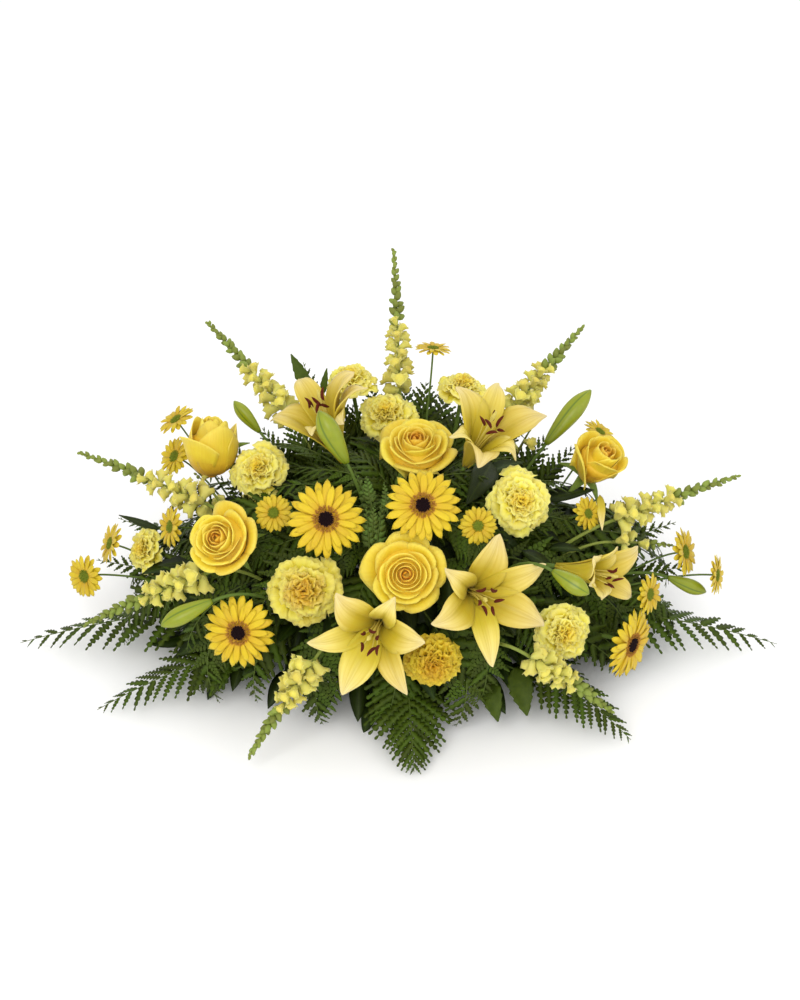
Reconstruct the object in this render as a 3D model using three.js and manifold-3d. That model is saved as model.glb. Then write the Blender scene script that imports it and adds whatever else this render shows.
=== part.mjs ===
// Casket spray: a low mound of yellow flowers and fern standing in floral foam on a saddle tray.
// Millimetres, +Z up. The middle of the tray's flat underside is the origin, and the front faces -Y.

import * as THREE from 'three';
import { mergeVertices } from 'three/addons/utils/BufferGeometryUtils.js';
import Module from 'manifold-3d';

const { Vector3, Matrix4 } = THREE;
const wasm = await Module();
wasm.setup();

// Driving sizes
// The gap between pieces that touch
const CLEARANCE = 0.35;
const TRAY = { length: 256, width: 122, height: 30, wall: 3, corner: 20 };
const FOAM = { length: 234, width: 102, height: 66 };
const STEM = { thick: 3, slim: 2.2, fine: 1.7 };
const LEAF = { length: 80, half: 17, stalk: 1.2, droop: 5 };
const BLADE_THICKNESS = 1.3;
// A stem's hole in the foam: how much wider and deeper it is than the stem
const HOLE = { wider: 0.9, deeper: 0.8 };
// Where stems start inside the foam: shares of the flower's x, y and height, and the lowest height
const STEM_ROOT = { x: 0.3, y: 0.2, z: 0.1, lowest: 22 };
// How straight a stem leaves the foam and meets its flower, as shares of its length
const STEM_BEND = { leave: 0.4, arrive: 0.3 };
// Room left round a flower by the stems and fronds that are bent clear of it
const CLEAR_OF = { passes: 6, stem: 6, frond: 4 };
// A direction this near to a helper axis takes another one
const NEAR_PARALLEL = 0.9;

// Layout drawing: an upright picture of the front, looked down on at 40 degrees.
// Columns run right, rows run down, and the foot is where the origin shows.
const DRAWING = {
  unit: 1.2,
  tilt: 40,
  distance: 3000,
  middleColumn: 400,
  middleRow: 500,
  footColumn: 398,
  footRow: 640,
};
// The flowers sit on a half ellipsoid
const MOUND = { across: 325, deep: 185, high: 215, base: 45 };

// Flowers: column and row of the middle, width in mm, facing to the right and up (0, 0 faces the viewer),
// and lift towards the viewer off the mound in mm
const ROSES = [
  { name: 'rose_upper_left', column: 212, row: 447, width: 78, right: -0.55, up: 0.42, lift: 0 },
  { name: 'rose_left', column: 225, row: 542, width: 86, right: -0.3, up: 0.05, lift: 6 },
  { name: 'rose_top', column: 416, row: 450, width: 92, right: -0.02, up: 0.42, lift: -8 },
  { name: 'rose_front', column: 406, row: 575, width: 98, right: 0, up: 0.06, lift: -8 },
  { name: 'rose_upper_right', column: 594, row: 468, width: 78, right: 0.42, up: 0.4, lift: 4 },
];
const GERBERAS = [
  { name: 'gerbera_upper_left', column: 326, row: 519, width: 94, right: 0, up: 0.12, lift: 14 },
  { name: 'gerbera_centre', column: 423, row: 505, width: 90, right: 0.03, up: 0.16, lift: 32 },
  { name: 'gerbera_lower_left', column: 238, row: 633, width: 90, right: -0.22, up: -0.12, lift: 4 },
  { name: 'gerbera_lower_right', column: 633, row: 645, width: 90, right: 0.78, up: -0.3, lift: 0 },
];
const CARNATIONS = [
  { name: 'carnation_upper_left', column: 258, row: 468, width: 72, right: -0.2, up: 0.35, lift: 6 },
  { name: 'carnation_top', column: 386, row: 411, width: 74, right: -0.1, up: 0.62, lift: -22 },
  { name: 'carnation_top_left', column: 350, row: 376, width: 64, right: -0.15, up: 0.8, lift: -58 },
  { name: 'carnation_top_right', column: 463, row: 384, width: 66, right: 0.12, up: 0.85, lift: -48 },
  { name: 'carnation_right', column: 521, row: 501, width: 77, right: 0.15, up: 0.15, lift: 4 },
  { name: 'carnation_front_left', column: 304, row: 591, width: 84, right: -0.08, up: -0.04, lift: -2 },
  { name: 'carnation_left', column: 142, row: 549, width: 60, right: -0.75, up: 0.2, lift: 0 },
  { name: 'carnation_lower_right', column: 566, row: 634, width: 72, right: 0.35, up: -0.2, lift: -8 },
];
const POMPONS = [
  { name: 'pompon_front', column: 433, row: 664, width: 68, right: 0.05, up: -0.4, lift: 0 },
];
// Lilies are placed by the foot of the flower. Each is turned by its spin in degrees about its own axis,
// and is open from 0, a trumpet, to 1, a flat star
const LILIES = [
  { name: 'lily_top_left', column: 344, row: 462, width: 150, right: -0.34, up: 0.8, lift: -48 },
  { name: 'lily_top_right', column: 465, row: 466, width: 146, right: 0.38, up: 0.66, lift: -24 },
  { name: 'lily_front_left', column: 381, row: 620, width: 148, right: -0.17, up: -0.26, lift: -20 },
  { name: 'lily_front_right', column: 468, row: 590, width: 152, right: 0.3, up: -0.1, lift: -30 },
  { name: 'lily_right', column: 556, row: 566, width: 128, right: 0.84, up: -0.14, lift: -24 },
];
const LILY_SPINS = [0, 10, 2, 28, 14];
const LILY_OPENINGS = [0.62, 0.75, 1, 1, 0.7];
// Closed lily buds: tip and foot on the drawing, width in mm, lift of the foot,
// and how much nearer to the viewer the tip is than the foot
const BUDS = [
  { tip: [319, 411], foot: [347, 463], width: 26, lift: 36, nearer: 14 },
  { tip: [234, 401], foot: [260, 432], width: 17, lift: -30, nearer: 0 },
  { tip: [591, 390], foot: [546, 444], width: 24, lift: -16, nearer: 0 },
  { tip: [161, 626], foot: [212, 601], width: 22, lift: 24, nearer: 0 },
  { tip: [589, 594], foot: [553, 571], width: 21, lift: 44, nearer: 16 },
  { tip: [706, 592], foot: [668, 577], width: 18, lift: 4, nearer: -10 },
];
// Daisies, each spray on one branching stem
const DAISY_SPRAYS = [
  {
    name: 'daisies_far_left',
    heads: [
      { column: 86, row: 576, width: 46, right: -0.6, up: -0.1, lift: 0 },
      { column: 112, row: 544, width: 44, right: -0.85, up: 0.3, lift: -20 },
    ],
  },
  {
    name: 'daisies_upper_left',
    heads: [
      { column: 177, row: 421, width: 46, right: -0.5, up: 0.75, lift: -52 },
      { column: 176, row: 457, width: 44, right: -0.75, up: 0.3, lift: -52 },
      { column: 172, row: 527, width: 44, right: -0.93, up: 0.05, lift: 4 },
    ],
  },
  { name: 'daisy_left', heads: [{ column: 274, row: 513, width: 46, right: -0.1, up: 0.1, lift: 2 }] },
  { name: 'daisy_centre', heads: [{ column: 478, row: 526, width: 45, right: 0.05, up: 0.08, lift: 14 }] },
  { name: 'daisy_top', heads: [{ column: 433, row: 350, width: 46, right: 0.05, up: 0.93, lift: -60 }] },
  {
    name: 'daisies_upper_right',
    heads: [
      { column: 599, row: 433, width: 44, right: 0.5, up: 0.72, lift: -30 },
      { column: 585, row: 516, width: 44, right: 0.3, up: 0.3, lift: -10 },
    ],
  },
  {
    name: 'daisies_far_right',
    heads: [
      { column: 683, row: 552, width: 58, right: 0.86, up: 0.1, lift: 4 },
      { column: 715, row: 575, width: 50, right: 0.93, up: -0.05, lift: 0 },
      { column: 648, row: 594, width: 50, right: 0.8, up: -0.1, lift: 24 },
    ],
  },
];
// Snapdragons: tip of the spire, and where its lowest floret opens
const SPIRES = [
  { name: 'snapdragon_top', tip: [394, 249], low: [400, 392], tipNear: -60, lowLift: -60 },
  { name: 'snapdragon_upper_left', tip: [207, 322], low: [288, 414], tipNear: -60, lowLift: -50 },
  { name: 'snapdragon_upper_right', tip: [583, 327], low: [511, 412], tipNear: -60, lowLift: -60 },
  { name: 'snapdragon_left', tip: [78, 452], low: [208, 505], tipNear: 20, lowLift: -10 },
  { name: 'snapdragon_right', tip: [739, 476], low: [614, 520], tipNear: 20, lowLift: 0 },
  { name: 'snapdragon_low_left', tip: [84, 625], low: [204, 574], tipNear: 110, lowLift: -8 },
  { name: 'snapdragon_front_left', tip: [249, 757], low: [314, 660], tipHeight: 24, lowLift: 6 },
  { name: 'snapdragon_front_right', tip: [612, 712], low: [530, 657], tipHeight: 34, lowLift: 30 },
];
// Fern fronds round the rim: tip on the drawing, its height, and where the frond leaves the foam
const RIM_FRONDS = [
  { name: 'fern_left', tip: [20, 643], height: 16, start: [-124, -6, 58], width: 140, pairs: 8 },
  { name: 'fern_front_left', tip: [97, 710], height: 14, start: [-100, -38, 52], width: 124, pairs: 8 },
  { name: 'fern_front', tip: [414, 772], height: 12, start: [6, -42, 52], width: 140, pairs: 8 },
  { name: 'fern_front_right', tip: [631, 740], height: 14, start: [92, -40, 54], width: 120, pairs: 8 },
  { name: 'fern_right', tip: [777, 644], height: 16, start: [124, -4, 58], width: 146, pairs: 8 },
];
const BACK_FRONDS = [
  { name: 'fern_back_left', tipAt: [-330, 190, 24], start: [-100, 38, 54], width: 130, pairs: 7 },
  { name: 'fern_back', tipAt: [-30, 280, 22], start: [-10, 42, 52], width: 140, pairs: 7 },
  { name: 'fern_back_right', tipAt: [330, 180, 24], start: [98, 38, 54], width: 130, pairs: 7 },
];
// Smaller fronds that fill the spray, fused with the stems: tip, its height or lift, start, width and pairs
const FILL_FRONDS = [
  { tip: [352, 730], height: 16, start: [-44, -60, 60], width: 84, pairs: 4 },
  { tip: [482, 728], height: 16, start: [48, -60, 60], width: 84, pairs: 4 },
  { tip: [196, 704], height: 20, start: [-92, -60, 60], width: 84, pairs: 4 },
  { tip: [112, 596], height: 76, start: [-140, 6, 62], width: 90, pairs: 4 },
  { tip: [676, 524], height: 96, start: [134, 20, 66], width: 84, pairs: 4 },
  { tip: [606, 532], lift: -6, start: [80, -10, 86], width: 84, pairs: 4 },
  { tip: [300, 358], lift: -70, start: [-50, 16, 100], width: 70, pairs: 4 },
  { tip: [566, 440], lift: -40, start: [80, 14, 100], width: 80, pairs: 4 },
  { tipAt: [-190, 236, 30], start: [-70, 60, 60], width: 90, pairs: 4 },
  { tipAt: [150, 250, 30], start: [64, 60, 60], width: 90, pairs: 4 },
];

// Colours
const COLOUR = {
  rose: 0xf2c63c,
  gerbera: 0xf8d21f,
  gerberaDisc: 0x3a1d10,
  carnation: 0xeee27a,
  pompon: 0xe6b81e,
  lily: 0xf3cf62,
  daisy: 0xf6c916,
  snapdragon: 0xdfe07a,
  fern: 0x2f5a22,
  greens: 0x35602a,
  foam: 0x2c6a3a,
  tray: 0x1f4a2c,
};

// Seeded random numbers
let seed = 20117;
function random() {
  seed = (seed * 1664525 + 1013904223) % 4294967296;
  return seed / 4294967296;
}
const between = (low, high) => low + (high - low) * random();
const radians = (degrees) => (degrees * Math.PI) / 180;
const vec = (x, y, z) => new Vector3(x, y, z);
const along = (point, direction, distance) => point.clone().addScaledVector(direction, distance);

// The drawing in space
const RIGHT = vec(1, 0, 0);
const UP = vec(0, Math.sin(radians(DRAWING.tilt)), Math.cos(radians(DRAWING.tilt)));
const TOWARD = vec(0, -Math.cos(radians(DRAWING.tilt)), Math.sin(radians(DRAWING.tilt)));
const MIDDLE = vec(0, 0, 0)
  .addScaledVector(RIGHT, (DRAWING.middleColumn - DRAWING.footColumn) * DRAWING.unit)
  .addScaledVector(UP, (DRAWING.footRow - DRAWING.middleRow) * DRAWING.unit);

// A point on the sight line through a column and row: where it crosses the drawing, and its run per mm nearer
function sightLine(column, row) {
  const across = RIGHT.clone()
    .multiplyScalar((column - DRAWING.middleColumn) * DRAWING.unit)
    .addScaledVector(UP, (DRAWING.middleRow - row) * DRAWING.unit);
  const run = across.clone().multiplyScalar(-1 / DRAWING.distance).add(TOWARD);
  return { start: MIDDLE.clone().add(across), run };
}

function spot(column, row, near) {
  const line = sightLine(column, row);
  return along(line.start, line.run, near);
}

const nearness = (point) => point.clone().sub(MIDDLE).dot(TOWARD);

function spotAtHeight(column, row, height) {
  const line = sightLine(column, row);
  return along(line.start, line.run, (height - line.start.z) / line.run.z);
}

// Where the sight line meets the mound, or comes closest to it
function spotOnMound(column, row, lift) {
  const line = sightLine(column, row);
  const sizes = vec(MOUND.across, MOUND.deep, MOUND.high);
  const from = line.start.clone().sub(vec(0, 0, MOUND.base)).divide(sizes);
  const run = line.run.clone().divide(sizes);
  const a = run.dot(run);
  const b = from.dot(run);
  const root = Math.max(0, b * b - a * (from.dot(from) - 1));
  return along(line.start, line.run, (-b + Math.sqrt(root)) / a + lift);
}

// Turns a flower's own frame (z out of its face, foot at the origin) into its place
function flowerFrame(foot, axis, spin = 0) {
  const z = axis.clone().normalize();
  const sideHint = Math.abs(z.x) > NEAR_PARALLEL ? UP : RIGHT;
  const x = sideHint.clone().addScaledVector(z, -sideHint.dot(z)).normalize();
  const y = z.clone().cross(x);
  return new Matrix4()
    .makeBasis(x, y, z)
    .setPosition(foot)
    .multiply(new Matrix4().makeRotationZ(radians(spin)));
}

function facing(right, up) {
  const toward = Math.sqrt(Math.max(0, 1 - right * right - up * up));
  return vec(0, 0, 0)
    .addScaledVector(RIGHT, right)
    .addScaledVector(UP, up)
    .addScaledVector(TOWARD, toward)
    .normalize();
}

// A closed surface under construction
class Shell {
  constructor() {
    this.points = [];
    this.faces = [];
  }
  add(point) {
    this.points.push(point);
    return this.points.length - 1;
  }
  face(a, b, c) {
    this.faces.push([a, b, c]);
  }
  quad(a, b, c, d) {
    this.face(a, b, c);
    this.face(a, c, d);
  }
  // The same triangle on a blade's top and on its bottom. A corner on the edge is one point, and one inside
  // the blade has a top and a bottom. A turned triangle runs the other way round.
  both(corners, turned = false) {
    const pick = (face) => corners.map((corner) => (typeof corner === 'number' ? corner : corner[face]));
    const top = pick('top');
    const bottom = pick('bottom');
    const [up, down] = turned ? [bottom, top] : [top, bottom];
    this.face(up[0], up[1], up[2]);
    this.face(down[0], down[2], down[1]);
  }
  geometry(matrix) {
    const geometry = new THREE.BufferGeometry();
    const numbers = this.points.flatMap((point) => point.toArray());
    geometry.setAttribute('position', new THREE.Float32BufferAttribute(numbers, 3));
    geometry.setIndex(this.faces.flat());
    if (matrix) {
      geometry.applyMatrix4(matrix);
    }
    return geometry;
  }
  solid(matrix) {
    return solidOf(this.geometry(matrix));
  }
}

function solidOf(geometry) {
  const bare = geometry.clone();
  bare.deleteAttribute('normal');
  bare.deleteAttribute('uv');
  const merged = mergeVertices(bare, 1e-4);
  const mesh = () =>
    new wasm.Mesh({
      numProp: 3,
      vertProperties: new Float32Array(merged.attributes.position.array),
      triVerts: new Uint32Array(merged.index.array),
    });
  const made = new wasm.Manifold(mesh());
  if (made.volume() >= 0) {
    return made;
  }
  const index = merged.index.array;
  for (let i = 0; i < index.length; i += 3) {
    [index[i], index[i + 1]] = [index[i + 1], index[i]];
  }
  return new wasm.Manifold(mesh());
}

function geometryOf(solid) {
  const mesh = solid.getMesh();
  const geometry = new THREE.BufferGeometry();
  geometry.setAttribute('position', new THREE.Float32BufferAttribute(Array.from(mesh.vertProperties), 3));
  geometry.setIndex(Array.from(mesh.triVerts));
  return geometry;
}

const joined = (solids) => solids.reduce((all, one) => all.add(one));
const cutBy = (solid, cutters) => cutters.reduce((left, cutter) => left.subtract(cutter), solid);

function largestPiece(solid) {
  return solid.decompose().reduce((best, piece) => (piece.volume() > best.volume() ? piece : best));
}

// The same surface moved out along its normals
function grown(solid, distance) {
  const geometry = geometryOf(solid);
  geometry.computeVertexNormals();
  const { position, normal } = geometry.attributes;
  for (let i = 0; i < position.count; i += 1) {
    const point = vec(0, 0, 0).fromBufferAttribute(position, i);
    point.addScaledVector(vec(0, 0, 0).fromBufferAttribute(normal, i), distance);
    position.setXYZ(i, point.x, point.y, point.z);
  }
  return solidOf(geometry);
}

// Rings of points, the first closed flat, the last closed flat or by a point
function ringShell(rings, top) {
  const shell = new Shell();
  const indices = rings.map((ring) => ring.map((point) => shell.add(point)));
  const count = rings[0].length;
  for (let i = 0; i + 1 < rings.length; i += 1) {
    for (let k = 0; k < count; k += 1) {
      const next = (k + 1) % count;
      shell.quad(indices[i][k], indices[i][next], indices[i + 1][next], indices[i + 1][k]);
    }
  }
  const first = indices[0];
  const last = indices[indices.length - 1];
  for (let k = 1; k + 1 < count; k += 1) {
    shell.face(first[0], first[k + 1], first[k]);
    if (!top) {
      shell.face(last[0], last[k], last[k + 1]);
    }
  }
  if (top) {
    const peak = shell.add(top);
    for (let k = 0; k < count; k += 1) {
      shell.face(peak, last[k], last[(k + 1) % count]);
    }
  }
  return shell;
}

function ring(count, radius, z, turn = 0) {
  return Array.from({ length: count }, (_, k) => {
    const angle = ((k + turn) / count) * Math.PI * 2;
    return vec(Math.cos(angle) * radius, Math.sin(angle) * radius, z);
  });
}

// A tapering stem through points, closed at both ends.
// A pair of radii gives the sides of that ring in turn, for buds that stand out of it.
function tubeShell(points, radii, sides) {
  const rings = [];
  const start = points[1].clone().sub(points[0]).normalize();
  let side = Math.abs(start.z) > NEAR_PARALLEL ? vec(1, 0, 0) : vec(0, 0, 1);
  points.forEach((point, i) => {
    const before = points[Math.max(0, i - 1)];
    const after = points[Math.min(points.length - 1, i + 1)];
    const ahead = after.clone().sub(before).normalize();
    side = side.addScaledVector(ahead, -side.dot(ahead)).normalize();
    const across = ahead.clone().cross(side);
    rings.push(
      Array.from({ length: sides }, (_, k) => {
        const angle = (k / sides) * Math.PI * 2;
        const radius = Array.isArray(radii[i]) ? radii[i][k % 2] : radii[i];
        return point
          .clone()
          .addScaledVector(side, Math.cos(angle) * radius)
          .addScaledVector(across, Math.sin(angle) * radius);
      }),
    );
    side = side.clone();
  });
  return ringShell(rings);
}

// Round and oval heads whose petals rise in rims with furrows between them.
// Each row: radius, height, lobe (how far the rim draws in between petals) and shift (columns of turn)
const RIM_DROP = 0.5;
function rimmedHead(radius, rows, columnsPerPetal, petals, top) {
  const count = columnsPerPetal * petals;
  const rings = rows.map(({ r, z, lobe = 0, shift = 0 }) =>
    ring(count, radius * r, radius * z).map((point, k) => {
      const notch = (k + shift) % columnsPerPetal === 0 ? lobe : 0;
      return vec(point.x * (1 - notch), point.y * (1 - notch), point.z - notch * radius * RIM_DROP);
    }),
  );
  return ringShell(rings, vec(0, 0, top * radius));
}

const ROSE_ROWS = [
  { r: 0.14, z: 0 },
  { r: 0.66, z: 0.26 },
  { r: 1, z: 0.56, lobe: 0.13, shift: 0 },
  { r: 0.76, z: 0.56 },
  { r: 0.8, z: 0.9, lobe: 0.12, shift: 1 },
  { r: 0.54, z: 0.7 },
  { r: 0.52, z: 1.0, lobe: 0.14, shift: 0 },
  { r: 0.3, z: 0.8 },
  { r: 0.22, z: 1.03, lobe: 0.1, shift: 1 },
];
const roseShell = (radius) => rimmedHead(radius, ROSE_ROWS, 2, 6, 0.86);

const CARNATION_ROWS = [
  { r: 0.16, z: 0 },
  { r: 0.5, z: 0.2 },
  { r: 1, z: 0.42, lobe: 0.2, shift: 0 },
  { r: 0.74, z: 0.5 },
  { r: 0.88, z: 0.78, lobe: 0.2, shift: 1 },
  { r: 0.54, z: 0.68 },
  { r: 0.54, z: 1.02, lobe: 0.24, shift: 0 },
  { r: 0.24, z: 0.84 },
];
const carnationShell = (radius) => rimmedHead(radius, CARNATION_ROWS, 2, 6, 1.06);

const POMPON_ROWS = [
  { r: 0.16, z: 0 },
  { r: 0.98, z: 0.3, lobe: 0.24, shift: 0 },
  { r: 0.82, z: 0.42 },
  { r: 0.96, z: 0.62, lobe: 0.2, shift: 1 },
  { r: 0.66, z: 0.62 },
  { r: 0.7, z: 0.9, lobe: 0.2, shift: 0 },
  { r: 0.4, z: 0.78 },
  { r: 0.32, z: 1, lobe: 0.2, shift: 1 },
];
const pomponShell = (radius) => rimmedHead(radius, POMPON_ROWS, 2, 8, 0.86);

// A ring of petals round a hub, closed above and below, with a ridge along each petal.
// rows are the petal's stations outwards: radius, height and half width; tip is its point.
function starShell({ petals, seat, hub, hubHeight, notch, rows, tip, heart, dip = 0 }) {
  const shell = new Shell();
  const step = (Math.PI * 2) / petals;
  const at = (angle, r, z) => vec(Math.cos(angle) * r, Math.sin(angle) * r, z);
  const corners = Array.from({ length: petals }, (_, k) => {
    const angle = (k + 0.5) * step;
    return {
      hub: shell.add(at(angle, hub, hubHeight)),
      seat: shell.add(at(angle, seat, 0)),
      notch: shell.add(at(angle, notch.r, notch.z)),
    };
  });
  const peak = shell.add(vec(0, 0, heart));
  for (let k = 0; k < petals; k += 1) {
    const a = corners[(k + petals - 1) % petals];
    const b = corners[k];
    const low = k % 2 === 0 ? 0 : dip;
    const stations = rows.map(({ r, z, half, thick = BLADE_THICKNESS }) => {
      const middle = at(k * step, r, z - low);
      const side = at(k * step + Math.PI / 2, half, 0);
      return {
        left: shell.add(middle.clone().sub(side)),
        right: shell.add(middle.clone().add(side)),
        top: shell.add(along(middle, vec(0, 0, 1), thick * 0.5)),
        bottom: shell.add(along(middle, vec(0, 0, 1), -thick)),
      };
    });
    const point = shell.add(at(k * step, tip.r, tip.z - low));
    const first = stations[0];
    const innerA = { top: a.hub, bottom: a.seat };
    const innerB = { top: b.hub, bottom: b.seat };
    shell.both([innerA, a.notch, first]);
    shell.both([innerA, first, innerB]);
    shell.both([innerB, first, b.notch]);
    shell.both([a.notch, first.left, first]);
    shell.both([first, first.right, b.notch]);
    for (let j = 0; j + 1 < stations.length; j += 1) {
      const here = stations[j];
      const next = stations[j + 1];
      shell.both([here.left, next.left, next]);
      shell.both([here.left, next, here]);
      shell.both([here, next, next.right]);
      shell.both([here, next.right, here.right]);
    }
    const last = stations[stations.length - 1];
    shell.both([last.left, point, last]);
    shell.both([last, point, last.right]);
    shell.face(peak, a.hub, b.hub);
  }
  for (let k = 1; k + 1 < petals; k += 1) {
    shell.face(corners[0].seat, corners[k + 1].seat, corners[k].seat);
  }
  return shell;
}

function gerberaShell(radius) {
  return starShell({
    petals: 14,
    seat: radius * 0.2,
    hub: radius * 0.26,
    hubHeight: radius * 0.2,
    notch: { r: radius * 0.5, z: radius * 0.22 },
    rows: [{ r: radius * 0.74, z: radius * 0.25, half: radius * 0.13 }],
    tip: { r: radius, z: radius * 0.2 },
    heart: radius * 0.17,
    dip: radius * 0.05,
  });
}

function daisyShell(radius) {
  return starShell({
    petals: 9,
    seat: radius * 0.2,
    hub: radius * 0.3,
    hubHeight: radius * 0.34,
    notch: { r: radius * 0.42, z: radius * 0.28 },
    rows: [{ r: radius * 0.74, z: radius * 0.34, half: radius * 0.22 }],
    tip: { r: radius, z: radius * 0.26 },
    heart: radius * 0.48,
  });
}

// A ring whose points lie in and out in turn
function frilledRing(count, radius, z, inner, outer) {
  return ring(count, radius, z).map((point, k) => {
    const share = k % 2 ? outer : inner;
    return vec(point.x * share, point.y * share, point.z);
  });
}

function gerberaDiscShell(radius, height) {
  const sides = 8;
  const z = radius * 0.2 + CLEARANCE;
  const frill = frilledRing(sides, radius * 0.25, z + height * 0.55, 0.9, 1.04);
  return ringShell(
    [ring(sides, radius * 0.2, z), frill, ring(sides, radius * 0.14, z + height)],
    vec(0, 0, z + height * 0.8),
  );
}

// A lily's height over its foot, and how far its tepals reach out of their full length
const lilyHeight = (width, open) => (width / 2) * (1.55 - 0.65 * open);
const lilyReach = (open) => 0.55 + 0.45 * open;
const STAMEN = { sides: 3, filament: 1.1, anther: 0.05, lean: 0.32, gather: 0.06, length: 0.9 };
const STYLE = { foot: 1.4, head: 2.6, aside: 2, length: 1.02 };

// Six tepals from a narrow throat, more or less open, with six stamens and a style
function lilySolid(width, open) {
  const radius = width / 2;
  const reach = lilyReach(open);
  const high = lilyHeight(width, open);
  const root = vec(0, 0, high * 0.1);
  const flower = starShell({
    petals: 6,
    seat: radius * 0.07,
    hub: radius * 0.09,
    hubHeight: high * 0.2,
    notch: { r: radius * 0.2, z: high * 0.36 },
    rows: [
      { r: radius * 0.42 * reach, z: high * 0.66, half: radius * 0.23 },
      { r: radius * 0.72 * reach, z: high * 0.92, half: radius * 0.2 },
      { r: radius * 0.93 * reach, z: high * 0.98, half: radius * 0.1 },
    ],
    tip: { r: radius * 1.06 * reach, z: high * 0.84 },
    heart: high * 0.14,
    dip: radius * 0.07,
  }).solid();
  const lean = STAMEN.lean * open + STAMEN.gather;
  const length = high * STAMEN.length;
  const stamens = [0, 1, 2, 3, 4, 5].map((k) => {
    const angle = radians(60 * k + 30);
    const direction = vec(Math.cos(angle) * lean, Math.sin(angle) * lean, 1).normalize();
    const across = vec(-Math.sin(angle), Math.cos(angle), 0);
    const frame = new Matrix4().makeBasis(across, direction.clone().cross(across), direction);
    const ringAt = (place, size) =>
      ring(STAMEN.sides, size, 0).map((p) => p.applyMatrix4(frame).add(along(root, direction, place)));
    const rings = [ringAt(0, STAMEN.filament), ringAt(length * 0.9, radius * STAMEN.anther)];
    return ringShell(rings, along(root, direction, length)).solid();
  });
  const stigma = vec(STYLE.aside, 0, high * STYLE.length);
  const style = tubeShell([root, stigma], [STYLE.foot, STYLE.head], STAMEN.sides).solid();
  return joined([flower, ...stamens, style]);
}

function budSolid(foot, tip, width) {
  const sides = 5;
  const length = tip.distanceTo(foot);
  const rings = [
    ring(sides, width * 0.14, 0),
    ring(sides, width * 0.42, length * 0.35, 0.5),
    ring(sides, width * 0.5, length * 0.66),
  ];
  return ringShell(rings, vec(0, 0, length)).solid(flowerFrame(foot, tip.clone().sub(foot)));
}

// A leaf with a raised rib: points along the rib, half widths, and the side that the blade spreads to
function leafShell(points, halves, side) {
  const shell = new Shell();
  const stations = points.slice(0, -1).map((point, i) => {
    const ahead = points[i + 1].clone().sub(point).normalize();
    const out = side.clone().addScaledVector(ahead, -side.dot(ahead)).normalize();
    const normal = ahead.clone().cross(out);
    return {
      left: shell.add(along(point, out, -halves[i])),
      right: shell.add(along(point, out, halves[i])),
      top: shell.add(along(point, normal, BLADE_THICKNESS * 0.5)),
      bottom: shell.add(along(point, normal, -BLADE_THICKNESS * 0.5)),
    };
  });
  const tip = shell.add(points[points.length - 1]);
  const first = stations[0];
  shell.face(first.left, first.top, first.right);
  shell.face(first.left, first.right, first.bottom);
  for (let i = 0; i + 1 < stations.length; i += 1) {
    const a = stations[i];
    const b = stations[i + 1];
    shell.quad(a.left, b.left, b.top, a.top);
    shell.quad(a.top, b.top, b.right, a.right);
    shell.quad(a.left, a.bottom, b.bottom, b.left);
    shell.quad(a.bottom, a.right, b.right, b.bottom);
  }
  const last = stations[stations.length - 1];
  shell.face(last.left, tip, last.top);
  shell.face(last.top, tip, last.right);
  shell.face(last.left, last.bottom, tip);
  shell.face(last.bottom, last.right, tip);
  return shell;
}

// A leaflet's edge outwards: shares of its length and of its half width
const PLAIN_EDGE = [[0.42, 1]];
const TOOTHED_EDGE = [[0.3, 1], [0.37, 0.55], [0.64, 0.72], [0.7, 0.34]];

// One leaflet of a frond between two stations of its rib. With teeth its edges are cut.
function addLeaflet(shell, { here, next, side, root, reach, across, half, toothed }) {
  const normal = here.normal;
  const at = (x, y) => root.clone().addScaledVector(reach, x).addScaledVector(across, y * half);
  const edge = toothed ? TOOTHED_EDGE : PLAIN_EDGE;
  const lower = edge.map(([x, y]) => shell.add(at(x, -y)));
  const upper = edge.map(([x, y]) => shell.add(at(x, y)));
  const tip = shell.add(at(1, 0));
  const ridge = (toothed ? [0.3, 0.66] : [0.42]).map((x) => ({
    top: shell.add(along(at(x, 0), normal, BLADE_THICKNESS * 0.5)),
    bottom: shell.add(along(at(x, 0), normal, -BLADE_THICKNESS * 0.5)),
  }));
  const both = (...corners) => shell.both(corners, side === 'left');
  const first = ridge[0];
  const last = ridge[ridge.length - 1];
  both(here, here[side], first);
  both(here, first, next);
  both(next, first, next[side]);
  both(here[side], lower[0], first);
  both(first, upper[0], next[side]);
  if (toothed) {
    both(lower[0], lower[1], first);
    both(lower[1], last, first);
    both(lower[1], lower[2], last);
    both(lower[2], lower[3], last);
    both(first, upper[1], upper[0]);
    both(first, last, upper[1]);
    both(last, upper[2], upper[1]);
    both(last, upper[3], upper[2]);
    both(lower[3], tip, last);
    both(last, tip, upper[3]);
  } else {
    both(lower[0], tip, first);
    both(first, tip, upper[0]);
  }
}

// Fronds: radius and taper of the rib, where its leaflets end, how they lean forward in degrees and droop,
// and their half width as a share of their length and of the space between two pairs
const FROND = {
  rib: 1.6,
  taper: 0.6,
  leafyTo: 0.94,
  lean: 32,
  leanMore: 14,
  uneven: 3,
  droop: 0.12,
  slim: 0.17,
  spacing: 0.42,
  shortest: 0.16,
};

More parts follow.
